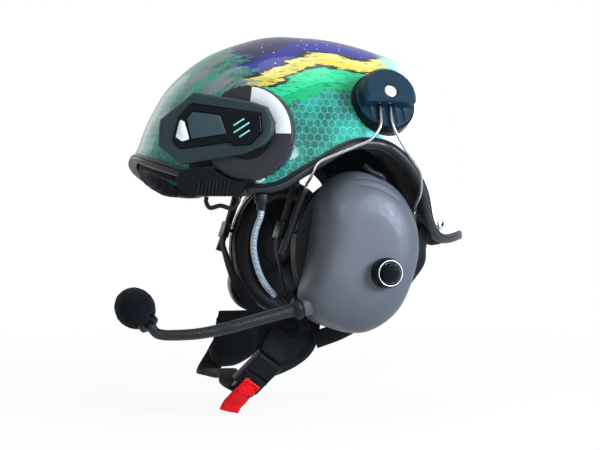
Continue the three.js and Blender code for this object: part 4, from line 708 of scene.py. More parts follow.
speck = math_node(tree, "MULTIPLY", speck, share)
sash = mix_node(tree, speck, ribbons, "#F4F8FF")
hair = noise_node(tree, drawn, 4.5, 3)
share = range_node(tree, hair, 0.54, 0.7, 0.0, 0.75, **eased_step)
sash = mix_node(tree, share, sash, "#0A1512")

# %% Lay the ribbons, the silver streaks and the white rear over the teal
low = range_node(tree, ragged, 132, 133.5, **eased_step)
front_end = math_node(tree, "MULTIPLY_ADD", strokes, 70.0, axes.outputs[1])
front = range_node(tree, front_end, -52, -40, **eased_step)
where = math_node(tree, "MULTIPLY", low, front)
flow = add_node(tree, "ShaderNodeMapping", {"Vector": place, "Rotation": (0.35, 0, 0),
                                            "Scale": (9, 75, 8)}, vector_type="TEXTURE")
sweeps = noise_node(tree, flow, 1.0, 4)
streak = range_node(tree, sweeps, 0.44, 0.64, **eased_step)
brow = range_node(tree, axes.outputs[1], -45, -95, **eased_step)
streak = math_node(tree, "MULTIPLY", streak, brow)
upper = range_node(tree, axes.outputs[2], 84, 112, **eased_step)
streak = math_node(tree, "MULTIPLY", streak, upper)
painted = mix_node(tree, streak, base, "#8A9294")
painted = mix_node(tree, where, painted, sash)
above_disc = math_node(tree, "SUBTRACT", axes.outputs[2], 90.0)
above_disc = math_node(tree, "MAXIMUM", above_disc, 0.0)
plane = math_node(tree, "MULTIPLY_ADD", above_disc, -0.53, axes.outputs[1])
plane = math_node(tree, "MULTIPLY_ADD", clouds, 16.0, plane)
haze = range_node(tree, plane, 2, 26, **eased_step)
painted = mix_node(tree, haze, painted, "#6FD9CD")
white = range_node(tree, plane, 15, 30, **eased_step)
painted = mix_node(tree, white, painted, "#D9E0E2")
orange_peel = noise_node(tree, place, 1 / 3.5, 1)
bump = add_node(tree, "ShaderNodeBump", {"Height": orange_peel, "Strength": 0.25,
                                         "Distance": 0.00004})
set_inputs(shader, {"Base Color": painted, "Coat Normal": bump})

# %% The shell's skins
outer = skin_rings(rim, 5, 0, 0, 44)
inner = skin_rings(rim, 5, 0, -SHELL_WALL, 22)
shell = loft("lacquered_shell", inner[::-1] + outer, lacquer, sharp=60)
stand_for(shell, "shell", slot="painted_shell")

# %% [markdown]
# ## The rim trim
#
# A rubber extrusion is pushed over the edge. Its section is a bead outside, a lip inside
# and a slot for the wall, and a shallow groove runs along the bead. We sweep that section
# round the same stations as the rim, so it sits on the skin wherever the edge goes.

# %% Sweep the trim
trim_section = [(1.0, 2.3), (1.9, 2.6), (2.4, 1.95), (2.9, 2.6), (3.9, 2.95), (5.2, 2.9),
                (6.5, 2.3), (7.6, 0.8), (8.0, -1.2), (7.8, -3.1), (6.9, -4.8), (5.4, -5.5),
                (2.0, -5.6), (0.4, -5.2), (0.0, -4.4), (0.0, -3.9), (5.2, -3.8), (5.2, 0.25),
                (0.0, 0.3), (0.05, 1.3)]
trim_loops = [[by_rim(station, down, out) for down, out in trim_section] for station in rim]
rim_trim = loft("rubber_rim_trim", trim_loops, trim_rubber, ring=True, sharp=50)
stand_for(rim_trim, "edge_trim", slot="trim_rubber")

# %% [markdown]
# ## Rigid parts from their solids
#
# Brackets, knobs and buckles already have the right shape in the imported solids, but those
# are loose triangles with knife edges. A copy is welded, its flat faces are joined, every
# sharp edge gets a small round of real size and the rest is shaded smooth. The round
# catches a thin line of light along each edge, which is what makes a moulding look moulded.

# %% Finish a rigid solid
SHARP_DEGREES, WELD, FLAT_DEGREES = 32, 3e-6, 1.2


def finished_solid(node, finish, slot, round_mm):
    mesh = solids[node].data.copy()
    mesh.name = node + "_finished"
    shape = bmesh.new()
    shape.from_mesh(mesh)
    bmesh.ops.remove_doubles(shape, verts=shape.verts, dist=WELD)
    bmesh.ops.dissolve_limit(shape, angle_limit=math.radians(FLAT_DEGREES), verts=shape.verts,
                             edges=shape.edges)
    edges = [e for e in shape.edges if len(e.link_faces) == 2
             and e.calc_face_angle(0) > math.radians(SHARP_DEGREES)]
    bmesh.ops.bevel(shape, geom=edges, offset=round_mm * MM, segments=2, profile=0.6,
                    affect="EDGES", clamp_overlap=True)
    shape.to_mesh(mesh)
    shape.free()
    mesh.shade_smooth()
    mesh.set_sharp_from_angle(angle=math.radians(SHARP_DEGREES))
    mesh.materials.clear()
    mesh.materials.append(finish)
    return stand_for(link_new(node + "_finished", mesh), node, slot=slot)


rounded = {
    "base_plate_left": 0.35, "base_plate_right": 0.35, "back_plate_left": 0.6,
    "back_plate_right": 0.6, "strap_slider_left": 0.5, "strap_slider_right": 0.5,
    "rim_clamp": 0.5, "intercom_dock": 0.3, "buckle_housing": 0.5, "buckle_lever": 0.4,
    "mic_capsule": 0.5}
for node, round_mm in rounded.items():
    finished_solid(node, black_plastic, "black_plastic", round_mm)
for side in ("left", "right"):
    finished_solid("disc_" + side, disc_nylon, "black_plastic", 0.5)
    for sleeve in ("front_sleeve_", "rear_sleeve_"):
        finished_solid(sleeve + side, sleeve_rubber, "sleeve_rubber", 0.3)
for node, finish, slot, round_mm in (
        ("intercom_body", soft_touch, "intercom_grey", 0.5),
        ("intercom_panel", gloss_plastic, "button_gloss", 0.25),
        ("intercom_key", key_rubber, "key_grey", 0.3),
        ("jog_dial", ring_plastic, "ring_grey", 0.3),
        ("lead_gland", sleeve_rubber, "cable_black", 0.5),
        ("ratchet_tongue", tongue_plastic, "tongue_plastic", 0.15)):
    finished_solid(node, finish, slot, round_mm)

# %% [markdown]
# ## Metal parts
#
# The spring wires are drawn stainless: bright, with fine streaks along them. The screws are
# zinc-plated steel, a little duller. A metal has no colour under its reflection, so almost
# everything the eye reads is the roughness and its direction.

# %% Steel materials
def drawn_metal(name, colour, roughness, streak_scale):
    material, tree, shader, place = start_material(name, colour, Metallic=1.0, Roughness=roughness)
    stretched = add_node(tree, "ShaderNodeMapping", {"Vector": place, "Scale": streak_scale})
    streaks = noise_node(tree, stretched, 1.0, 3)
    ranged = range_node(tree, streaks, 0.3, 0.7, roughness - 0.08, roughness + 0.1)
    bump = add_node(tree, "ShaderNodeBump", {"Height": streaks, "Strength": 0.3,
                                             "Distance": 0.00002})
    set_inputs(shader, {"Roughness": ranged, "Normal": bump})
    return material


stainless = drawn_metal("drawn_stainless_wire", "#A9ABA9", 0.24, (3.0, 0.15, 0.4))
zinc = drawn_metal("zinc_plated_screw", "#E2E4E4", 0.3, (1.6, 1.6, 1.6))

# %% Spring wires and pivot screws
wire_places = [
    (84.5, -50.647, 25.707), (84.5, -41.2, 51), (84.5, -39.8, 54.747), (112, -46.4, 59.2),
    (112.8, -41.9, 70.2), (115.5, 1.9, 87.8), (115.756, 10, 99.264), (108.383, 11.6, 113.734),
    (106.54, 12, 117.351), (106.54, 20.6, 117.351), (108.383, 20.2, 113.734),
    (115.756, 18.6, 99.264), (114.5, 30.5, 80.1), (108.5, 46.8, 63.1), (103, 48.8, 47),
    (94, 48, 38.2), (84.5, 52.775, 35.216), (84.5, 51.2, 31), (84.5, 47.001, 19.759)]


def across(points, side):
    return [Vector((p[0] * side, p[1], p[2])) for p in points]


for side, sign in (("left", 1), ("right", -1)):
    wire_path = rounded_path(across(wire_places, sign), reach=7, steps=6)
    wire = loft("spring_wire_" + side, tube_loops(wire_path, 1.15, 14), stainless)
    stand_for(wire, "wire_" + side, slot="wire_steel")
    finished_solid("pivot_screw_" + side, zinc, "screw_steel", 0.25)
print("wire length", round(path_length(wire_path)), "mm each")

# %% [markdown]
# ## Pieces that repeat
#
# Screws, stitches, ribs and piping are one small shape laid many times. Geometry Nodes do
# that with a rule: the tree has named sizes, places instances on points or along a line,
# makes them real and gives them their material. The result is then turned into a plain
# mesh, because a piece that rides on a body carries no live tree.

# %% Geometry Nodes helpers
def start_tree(name, **sizes):
    tree = bpy.data.node_groups.new(name, "GeometryNodeTree")
    tree.interface.new_socket("Geometry", in_out="INPUT", socket_type="NodeSocketGeometry")
    tree.interface.new_socket("Geometry", in_out="OUTPUT", socket_type="NodeSocketGeometry")
    for key in sizes:
        tree.interface.new_socket(key, in_out="INPUT", socket_type="NodeSocketFloat")
    entry = add_node(tree, "NodeGroupInput")
    return tree, entry


def end_tree(tree, last, finish):
    real = add_node(tree, "GeometryNodeRealizeInstances", {0: last})
    dressed = add_node(tree, "GeometryNodeSetMaterial", {0: real, "Material": finish})
    add_node(tree, "NodeGroupOutput", {0: dressed})


# The mesh that a piece's modifiers make; they are then taken off
def baked(piece):
    evaluated = piece.evaluated_get(bpy.context.evaluated_depsgraph_get())
    mesh = bpy.data.meshes.new_from_object(evaluated)
    piece.modifiers.clear()
    return mesh


def grow(piece, tree, **sizes):
    modifier = piece.modifiers.new("grow", "NODES")
    modifier.node_group = tree
    for item in tree.interface.items_tree:
        if item.in_out == "INPUT" and item.name in sizes:
            modifier[item.identifier] = sizes[item.name]
    mesh = baked(piece)
    mesh.name = piece.name
    piece.data = mesh
    return piece


# Sets a shape on every point, turned to the point's own facing
def face_points(tree, entry, shape, **more):
    facing = add_node(tree, "GeometryNodeInputNamedAttribute", {"Name": "facing"},
                      data_type="FLOAT_VECTOR")
    turned = add_node(tree, "FunctionNodeAlignRotationToVector", {"Vector": facing}, axis="Z")
    return add_node(tree, "GeometryNodeInstanceOnPoints", {
        0: entry.outputs[0], "Instance": shape, "Rotation": turned, **more})


# Points with a facing direction, the seed of a tree that instances on them
def seed_points(name, places, facings):
    mesh = bpy.data.meshes.new(name)
    mesh.from_pydata([tuple(Vector(p) * MM) for p in places], [], [])
    layer = mesh.attributes.new("facing", "FLOAT_VECTOR", "POINT")
    layer.data.foreach_set("vector", [v for f in facings for v in f])
    return link_new(name, mesh)


def line_points(name, path):
    mesh = bpy.data.meshes.new(name)
    mesh.from_pydata([tuple(Vector(p) * MM) for p in path],
                     [(i, i + 1) for i in range(len(path) - 1)], [])
    return link_new(name, mesh)


# %% [markdown]
# ## Strap screws
#
# Four pan-head screws with a hexagon socket hold the harness to the shell. They are one
# tree: two stacked cones for the head, a dark six-sided block on top that stands for the
# socket as painted shade, set on four points and turned to face along the skin's normal.

# %% Grow the screws
tree, entry = start_tree("pan_head_screws", Radius=0, Rise=0)
foot = add_node(tree, "GeometryNodeMeshCone", {
    "Vertices": 28, "Radius Top": entry.outputs["Radius"], "Radius Bottom": entry.outputs["Radius"],
    "Depth": entry.outputs["Rise"]})
crown_radius = math_node(tree, "MULTIPLY", entry.outputs["Radius"], 0.78)
crown_rise = math_node(tree, "MULTIPLY", entry.outputs["Rise"], 0.7)
crown = add_node(tree, "GeometryNodeMeshCone", {
    "Vertices": 28, "Radius Top": crown_radius, "Radius Bottom": entry.outputs["Radius"],
    "Depth": crown_rise})
lift = add_node(tree, "ShaderNodeCombineXYZ", {2: entry.outputs["Rise"]})
crown = add_node(tree, "GeometryNodeTransform", {0: crown, "Translation": lift})
# The socket is a dark six-sided block on the head: painted shade, not a recess
socket_radius = math_node(tree, "MULTIPLY", entry.outputs["Radius"], 0.42)
painted_socket_shade = add_node(tree, "GeometryNodeMeshCone", {
    "Vertices": 6, "Radius Top": socket_radius, "Radius Bottom": socket_radius,
    "Depth": crown_rise})
top = math_node(tree, "MULTIPLY", entry.outputs["Rise"], 1.03)
lift = add_node(tree, "ShaderNodeCombineXYZ", {2: top})
painted_socket_shade = add_node(tree, "GeometryNodeTransform", {0: painted_socket_shade, "Translation": lift})
head = add_node(tree, "GeometryNodeJoinGeometry")
for part in (foot, crown):
    tree.links.new(part.outputs[0], head.inputs[0])
head = add_node(tree, "GeometryNodeSetMaterial", {0: head, "Material": zinc})
dark = add_node(tree, "GeometryNodeSetMaterial", {0: painted_socket_shade, "Material": black_plastic})
screw = add_node(tree, "GeometryNodeJoinGeometry")
for part in (head, dark):
    tree.links.new(part.outputs[0], screw.inputs[0])
placed = face_points(tree, entry, screw)
real = add_node(tree, "GeometryNodeRealizeInstances", {0: placed})
add_node(tree, "NodeGroupOutput", {0: real})

seats = [((96.827, -82.209, 59.356), (0.925, -0.379, 0.021)),
         ((82.241, 74.81, 23.755), (0.825, 0.557, -0.093))]
places, facings = [], []
for place_on_skin, normal in seats:
    for sign in (1, -1):
        places.append(Vector((place_on_skin[0] * sign, *place_on_skin[1:])))
        facings.append((normal[0] * sign, *normal[1:]))
places = [p + Vector(f) * 0.9 for p, f in zip(places, facings)]
strap_screws = grow(seed_points("strap_screws", places, facings), tree, Radius=0.0045, Rise=0.0011)
stand_for(strap_screws, "strap_screw_front_left", "strap_screw_front_right",
          "strap_screw_rear_left", "strap_screw_rear_right", slot="screw_steel")

# %% [markdown]
# ## Ear cups
#
# The cup's edge is an egg shape that is drawn in at the front, where the jaw is. Loops of
# that outline, each smaller than the last, climb to a broad flat crown. Near the top, three
# shallow grooves give a finger some grip; they are pressed into the loops by depth. The left
# cup also has a spout that the boom's grommet sits on.

# %% Cup shells
CUP_RIM_X, CUP_DEPTH, CUP_WALL = 87.8, 31, 2.5
cup_outline = [(0.07, 1), (0.61, 0.825), (0.95, 0.46), (1.04, 0.095), (0.96, -0.27), (0.65, -0.76),
               (0.12, -1), (-0.47, -0.92), (-0.82, -0.78), (-0.95, -0.54), (-0.88, -0.27),
               (-0.78, 0.05), (-0.71, 0.4), (-0.64, 0.71), (-0.35, 0.93)]
cup_edge = spline_path([(0, y * 49, z * 63) for y, z in cup_outline], 16, closed=True)
cup_edge = even_path(cup_edge + cup_edge[:1], 145)[:-1]
crown_spline = spline_path([(0, 1, 0), (0.3, 0.985, 0), (0.56, 0.94, 0), (0.76, 0.86, 0),
                            (0.9, 0.74, 0), (0.97, 0.62, 0), (1, 0.5, 0)], 8)
crown_spline += [Vector((1.004, share, 0)) for share in (0.4, 0.28, 0.14, 0.03)]


def cup_loop(rise, share, growth=0.0, depth=CUP_DEPTH, sign=1, grooved=False):
    loop = []
    for edge in cup_edge:
        sunk = 0.0
        if grooved:
            turn = math.degrees(math.atan2(edge.z, edge.y))
            window = max(0.0, 1 - ((turn - 74) / 24) ** 4)
            sunk = sum(window * math.exp(-((rise - at) / 0.026) ** 2) for at in (0.5, 0.65, 0.8))
        out = edge * (share + (growth - 2.6 * sunk) / edge.length)
        loop.append(Vector((sign * (CUP_RIM_X + rise * depth), -2 + out.y, 2 + out.z)))
    return loop


for side, sign in (("left", 1), ("right", -1)):
    rows = even_path(crown_spline, 72)
    skin = [cup_loop(r.x, r.y, sign=sign, grooved=True) for r in rows]
    lining = [cup_loop(r.x, r.y, -CUP_WALL, CUP_DEPTH - CUP_WALL, sign) for r in rows[:54:4]]
    cup = loft("cup_" + side, lining[::-1] + skin, cup_plastic, sharp=55)
    stand_for(cup, "cup_shell_" + side, slot="cup_plastic")

# %% Turned parts: a profile spun round an axis
def turned_piece(name, profile, origin, axis, finish, steps=48, sharp=35):
    axis, origin = Vector(axis).normalized(), Vector(origin)
    side = Vector((0, 0, 1)) if abs(axis.x) > 0.9 else Vector((1, 0, 0))
    side = (side - axis * axis.dot(side)).normalized()
    up = axis.cross(side)
    loops = [[origin + axis * z + (side * math.cos(2 * math.pi * k / steps)
                                   + up * math.sin(2 * math.pi * k / steps)) * max(r, 0.01)
              for k in range(steps)] for r, z in profile]
    return loft(name, loops, finish, sharp=sharp)


# Rounds the corners of a profile by short arcs
def eased(profile, reach=0.5):
    flat = rounded_path([(r, z, 0) for r, z in profile], reach, 3)
    return [(p.x, p.y) for p in flat]


boom_start = Vector((98, -49.5, -39.8))
boom_run = Vector((-0.0733, -0.9636, -0.2570)).normalized()
spout_profile = eased([(0, -17), (9.6, -15), (7.6, -9), (7.0, -0.4), (0, -0.4)], 1.5)
spout = turned_piece("boom_spout", spout_profile, boom_start, boom_run, cup_plastic)
carry(spout, "cup_left")
grommet_profile = eased([(5.5, 0), (7.4, 0), (8.5, 1.4), (8.7, 2.9), (8.3, 4.6), (7.0, 6.0),
                         (5.5, 6.5)], 0.8)
grommet = turned_piece("boom_grommet", grommet_profile, boom_start, boom_run, sleeve_rubber)
stand_for(grommet, "boom_socket", slot="sleeve_rubber")
knob_at = (116, 11, -13.5)
housing_profile = eased([(0, 1.2), (11.5, 1.2), (11.6, 10.6), (10.6, 12.8), (9.9, 13.9),
                         (7.75, 14.0), (7.7, 8.1), (0, 8.0)], 0.5)
housing = turned_piece("talk_housing", housing_profile, knob_at, (1, 0, 0), black_plastic, 72)
stand_for(housing, "talk_button_housing", slot="black_plastic")
ring_profile = eased([(9.3, 13.7), (9.9, 13.7), (9.9, 14.15), (9.3, 14.15), (9.3, 13.7)], 0.1)
bright_ring = turned_piece("talk_button_ring", ring_profile, knob_at, (1, 0, 0), zinc, 72)
carry(bright_ring, "cup_left")
button_profile = eased([(0, 9.9), (7.35, 9.9), (7.35, 15.4), (6.9, 17.6), (5.4, 19.2),
                        (3.9, 20.1), (3.6, 20.45), (0, 20.5)], 0.7)
button = turned_piece("talk_button_cap", button_profile, knob_at, (1, 0, 0), gloss_plastic, 64)
stand_for(button, "talk_button", slot="button_gloss")

# %% [markdown]
# ## The gooseneck boom
#
# A gooseneck is a steel coil in a rubber skin, so its surface is a row of close rings. The
# line of the boom is resampled to one point for each ring, and a small torus made of a
# circle swept round a circle is set on every point, facing along the line. A smooth core
# under them closes the gaps.

# %% Grow the boom's rings
boom_places = [(98, -49.5, -39.8), (97.2, -60, -42.6), (93, -79, -47.8), (87, -94.6, -52.4),
               (80, -105.9, -56), (71, -121.5, -59.7), (60, -136.6, -61.4), (51, -145, -61.7),
               (45, -149.3, -60.4), (41.8, -151.8, -56.8)]
boom_path = even_path(spline_path(boom_places, 16), 76)
tree, entry = start_tree("gooseneck_rings", Radius=0, Thickness=0)
ring_line = add_node(tree, "GeometryNodeCurvePrimitiveCircle", {"Resolution": 20,
                                                                "Radius": entry.outputs["Radius"]})
wire_line = add_node(tree, "GeometryNodeCurvePrimitiveCircle", {
    "Resolution": 6, "Radius": entry.outputs["Thickness"]})
torus = add_node(tree, "GeometryNodeCurveToMesh", {"Curve": ring_line, "Profile Curve": wire_line})
torus = add_node(tree, "GeometryNodeSetShadeSmooth", {0: torus})
order = add_node(tree, "GeometryNodeInputIndex")
slimmer = range_node(tree, order, 0, 75, 1.0, 0.77)
placed = face_points(tree, entry, torus, Scale=slimmer)
end_tree(tree, placed, boom_rubber)
runs = [(b - a).normalized() for a, b in zip(boom_path, boom_path[1:])]
runs.append(runs[-1])
rings = grow(seed_points("boom_rings", boom_path, runs), tree, Radius=0.0043, Thickness=0.0010)
core = loft("boom_core", tube_loops(boom_path, lambda share: 4.7 - 1.1 * share, 20), boom_rubber)
stand_for(rings, "boom", slot="boom_rubber")
carry(core, "boom_body")

# %% [markdown]
# ## The foam windscreen
#
# Open-cell foam is a sponge: its surface is all pores, and it scatters light so well that
# nothing glints. A finely divided egg shape is pushed in and out by noise the size of the
# pores, a millimetre or so, and the material paints shade into the hollows of its pores.

# %% Foam material and windscreen
foam, tree, shader, place = start_material("open_cell_foam", "#060B0E", Roughness=1.0,
                                           Specular_IOR_Level=0.1, Sheen_Weight=0.06)
pores = add_node(tree, "ShaderNodeTexVoronoi", {"Vector": place, "Scale": 0.85})
pores = pores.outputs["Distance"]
# Darker in the pores, where the relief is low: painted shade
dress(tree, shader, pores, "#010507", "#10191E", pores, 1.0, 0.0006)

mic_base, mic_axis = Vector((41.8, -151.8, -56.8)), Vector((-0.59, -0.461, 0.664)).normalized()
bottom, middle = 7.8, 22.25
lowest = -math.asin((middle - bottom) / 17)
profile = [(6.5, 24.5), (6.5, 8.2), (7.4, 7.8)]
for i in range(1, 41):
    turn = lowest + (math.pi / 2 - lowest) * i / 40
    profile.append((15.6 * math.cos(turn), middle + 17 * math.sin(turn)))
windscreen = turned_piece("foam_windscreen", profile, mic_base, mic_axis, foam, 96, None)
for vertex in windscreen.data.vertices:
    at = vertex.co / MM
    if ((at - mic_base).cross(mic_axis)).length > 7.2:
        rough = noise.noise(at * 0.9) * 0.35 + noise.noise(at * 0.25) * 0.3
        vertex.co += vertex.normal * rough * MM
stand_for(windscreen, "windscreen", slot="open_foam")

# %% [markdown]
# ## Cloth and leather materials
#
# The webbing is woven nylon: ribs run across it every millimetre and a half, and the
# threads between them lean one way and then the other. It reads the loft's own map, so the
# ribs follow each strap. The cushions are leatherette, the pads and the lining a brushed
# knit, all with a little sheen, the soft edge glow of fine hairs.

# %% Webbing, leatherette, knit and bead foam
def woven(name, dark, light, rib_mm=1.5):
    material, tree, shader, place = start_material(
        name, dark, Roughness=0.8, Sheen_Weight=0.08, Sheen_Roughness=0.4,
        Specular_IOR_Level=0.2)
    cloth = add_node(tree, "ShaderNodeUVMap", uv_map="cloth")
    cloth = add_node(tree, "ShaderNodeVectorMath", {0: cloth, "Scale": 1000}, operation="SCALE")
    ribs = add_node(tree, "ShaderNodeTexWave", {"Vector": cloth, "Scale": 0.314 / rib_mm},
                    bands_direction="Y")
    leaning = add_node(tree, "ShaderNodeTexWave", {"Vector": cloth, "Scale": 0.314 / (rib_mm * 1.3),
                                                   "Distortion": 1.2, "Detail Scale": 1.0},
                       bands_direction="DIAGONAL")
    threads = math_node(tree, "MULTIPLY", ribs, leaning)
    # The colour follows the relief, darker between the ribs and threads: painted shade
    dress(tree, shader, threads, dark, light, threads, 0.8, 0.0003)
    return material


webbing = woven("woven_nylon_webbing", "#05080A", "#171C20")
red_webbing = woven("woven_red_nylon", "#E4000E", "#FF1428", 1.4)
binding_tape = woven("grosgrain_binding", "#070A0C", "#14191D", 1.0)

leather, tree, shader, place = start_material("black_leatherette", "#0A0E10", Roughness=0.5,
                                              Specular_IOR_Level=0.25)
pebbles = add_node(tree, "ShaderNodeTexVoronoi", {"Vector": place, "Scale": 0.9, "Randomness": 1.0},
                   feature="DISTANCE_TO_EDGE")
creases = noise_node(tree, place, 1 / 7, 4)
# Darker in the low parts of the creases: painted shade
bump = dress(tree, shader, creases, "#06090B", "#11171A", creases, 0.4, 0.0008)
bump = add_node(tree, "ShaderNodeBump", {"Height": pebbles, "Strength": 0.5, "Distance": 0.0002,
                                         "Normal": bump})
set_inputs(shader, {"Normal": bump})

knit, tree, shader, place = start_material("brushed_knit", "#0A0E11", Roughness=0.95,
                                           Sheen_Weight=0.12, Sheen_Roughness=0.5,
                                           Specular_IOR_Level=0.15)
loops_of_yarn = add_node(tree, "ShaderNodeTexVoronoi", {"Vector": place, "Scale": 0.7,
                                                        "Randomness": 0.25})
fuzz = noise_node(tree, place, 0.25, 5)
dress(tree, shader, fuzz, "#05080A", "#14191D", loops_of_yarn.outputs["Distance"], 0.7, 0.0004)

bead_foam, tree, shader, place = start_material("expanded_bead_foam", "#17191C", Roughness=0.85)
beads = add_node(tree, "ShaderNodeTexVoronoi", {"Vector": place, "Scale": 1 / 3.2})
edges = range_node(tree, beads.outputs["Distance"], 0.2, 0.7, 0, 1)
# Darker where the beads meet, in the low seams between them: painted shade
dress(tree, shader, edges, "#1E2125", "#0D0F11", beads.outputs["Distance"], 0.5, 0.0005,
      invert=True)

# %% [markdown]
# ## Liners and pads
#
# Inside the shell lies crushable bead foam with grooves for the straps, and inside that a
# thin quilted comfort liner. The quilting is in the loops themselves: the inner skin bulges
# between stitched valleys that run up to the crown. Brow and nape pads are foam bars in knit.

# %% Bead foam and quilted liner
finished_solid("eps_liner", bead_foam, "eps_foam", 0.8)


def quilted(climb, foot):
    turn = math.atan2(foot.x, -foot.y) if foot else 0
    across_valley = abs(math.sin(turn * 9))
    along_valley = abs(math.sin(climb * math.pi * 5.5))
    return -32.0 - 1.6 * (across_valley * along_valley) ** 0.4


liner_stations = rim_stations(180)
outside = skin_rings(liner_stations, -12, -3.5, -28.2, 40)
inside = skin_rings(liner_stations, -12, -3.5, quilted, 40)
inside[0] = [by_rim(s, -12.5, -31.4) for s in liner_stations]
comfort = loft("quilted_comfort_liner", outside[::-1] + inside, knit)
stand_for(comfort, "comfort_liner", slot="lining_fabric")


def rim_pad(name, middle, half_turn, top, height, depth, thickness):
    chosen = []
    for station in rim:
        turn = math.degrees(math.atan2(station[0].x, SHELL_CENTRE.y - station[0].y)) - middle
        turn = (turn + 180) % 360 - 180
        if abs(turn) < half_turn:
            chosen.append((turn, station))
    chosen.sort(key=lambda pair: pair[0])
    loops = []
    for i, (turn, station) in enumerate(chosen):
        along = 2 * i / (len(chosen) - 1) - 1
        full = math.sqrt(max(1 - along ** 6, 0.16)) * (0.97 + 0.03 * math.cos(turn * 0.9))
        loop = []
        for k in range(28):
            a = 2 * math.pi * k / 28
            c, s = math.cos(a), math.sin(a)
            down = blunt(c, 0.45) * height / 2 * full
            inwards = (blunt(s, 0.6) + 1) / 2 * thickness * full
            loop.append(by_rim(station, top + height / 2 + down, -depth - inwards))
        loops.append(loop)
    return loft(name, loops, knit)


pad_sizes = {"brow_pad": (0, 44, 0.5, 15, 6.1, 9), "nape_pad": (180, 44, 0.5, 17, 11.1, 13)}
for node, sizes in pad_sizes.items():
    pad = rim_pad(node + "_knit", *sizes)
    stand_for(pad, node, slot="open_foam")

# %% [markdown]
# ## Beaded piping
#
# A cord of small moulded beads trims the liner's edge in the ear bays, just above each cup.
# A row of beads is the plainest use of instances: the edge line is resampled at the beads'
# pitch, and a ball of few faces is set on each point.

# %% Grow the beaded piping
tree, entry = start_tree("beaded_piping", Pitch=0, Bead=0)
edge_line = add_node(tree, "GeometryNodeMeshToCurve", {0: entry.outputs[0]})
dots = add_node(tree, "GeometryNodeResampleCurve", {
    "Curve": edge_line, "Length": entry.outputs["Pitch"]}, mode="LENGTH")
ball = add_node(tree, "GeometryNodeMeshUVSphere", {"Segments": 8, "Rings": 6,
                                                   "Radius": entry.outputs["Bead"]})
ball = add_node(tree, "GeometryNodeSetShadeSmooth", {0: ball})
placed = add_node(tree, "GeometryNodeInstanceOnPoints", {0: dots, "Instance": ball})
end_tree(tree, placed, sleeve_rubber)
for side, sign in (("left", 1), ("right", -1)):
    bay = [s for s in liner_stations
           if 55 < math.degrees(math.atan2(sign * s[0].x, SHELL_CENTRE.y - s[0].y)) < 140]
    edge = [by_rim(s, -2.9, -26.3) for s in bay]
    piping = grow(line_points("beaded_piping_" + side, edge), tree, Pitch=0.0023, Bead=0.0011)
    carry(piping, "helmet")

# %% [markdown]
# ## Webbing straps
#
# A strap is woven flat, so it bends only about its width and keeps that width everywhere.
# We sweep one flat section along each route and turn it by the width direction at each
# place. Ends run into the fittings that hold them. The chin strap, which crosses the
# ratchet, is swept in place and rides on no body.

# %% Sweep the straps
strap_section = [(-1, -0.35), (-0.965, -0.85), (-0.5, -1), (0, -1), (0.5, -1), (0.965, -0.85),
                 (1, -0.35), (1, 0.35), (0.965, 0.85), (0.5, 1), (0, 1), (-0.5, 1),
                 (-0.965, 0.85), (-1, 0.35)]


def width_at(point, places, widths):
    best = (1e9, None)
    for k in range(len(places) - 1):
        a, b = Vector(places[k]), Vector(places[k + 1])
        share = min(max((point - a).dot(b - a) / (b - a).length_squared, 0), 1)
        gap = (a.lerp(b, share) - point).length
        if gap < best[0]:
            best = (gap, Vector(widths[k]).lerp(Vector(widths[k + 1]), share))
    return best[1]


def strap_frames(places, widths, reach=7, step=2.0):
    path = rounded_path(places, reach)
    path = even_path(path, max(10, round(path_length(path) / step)))
    frames = []
    for i, point in enumerate(path):
        run = run_at(path, i)
        across_it = width_at(point, places, widths)
        across_it = (across_it - run * across_it.dot(run)).normalized()
        frames.append((point, run, across_it, run.cross(across_it)))
    return frames


def strap(name, frames, width, thickness, finish):
    loops = [[point + wide * (x * width / 2) + out * (y * thickness / 2)
              for x, y in strap_section] for point, run, wide, out in frames]
    return loft(name, loops, finish)


front_places = [(85.93, -83.9, 58.92), (90.749, -71.993, 59.739), (92.683, -66.303, 60.128),
                (94.75, -59.228, 60.6), (96.745, -51.11, 58.441), (78, -46.5, 58), (75, -49, 47),
                (74, -54, 30), (73, -61, 8), (67, -54, -18), (62.8, -43, -40), (61.4, -35, -50),
                (61.4, -33, -60)]
front_widths = [(0.013, 0.065, -0.998)] * 4 + [
    (0.195, 0.064, -0.979), (0.712, 0.046, -0.701), (0.983, 0.012, -0.181), (1, 0, 0), (1, 0, 0),
    (0.944, -0.33, 0), (0.33, -0.944, 0), (0, -1, 0), (0, -1, 0)]
rear_places = [(74.594, 71.006, 32.053), (76.887, 66.035, 22.941), (77.855, 63.519, 18.64),
               (78.78, 60.654, 14.033), (72, 62, -6), (67, 44, -28), (61.8, 20, -50),
               (61.4, -4, -62), (61.4, -24, -68)]
rear_widths = [(0.513, -0.689, 0.512)] * 3 + [
    (0.505, -0.569, 0.65), (0.363, -0.063, 0.93), (0.093, 0.465, 0.88)] + [(0, 0.6, 0.8)] * 3
for side, sign in (("left", 1), ("right", -1)):
    frames = strap_frames(across(front_places, sign), across(front_widths, sign))
    front_strap = strap("front_strap_woven_" + side, frames, 10, 1.9, webbing)
    stand_for(front_strap, "front_strap_" + side, slot="webbing")
    frames = strap_frames(across(rear_places, sign), across(rear_widths, sign))
    rear_strap = strap("rear_strap_woven_" + side, frames, 14, 1.9, webbing)
    stand_for(rear_strap, "rear_strap_" + side, slot="webbing")

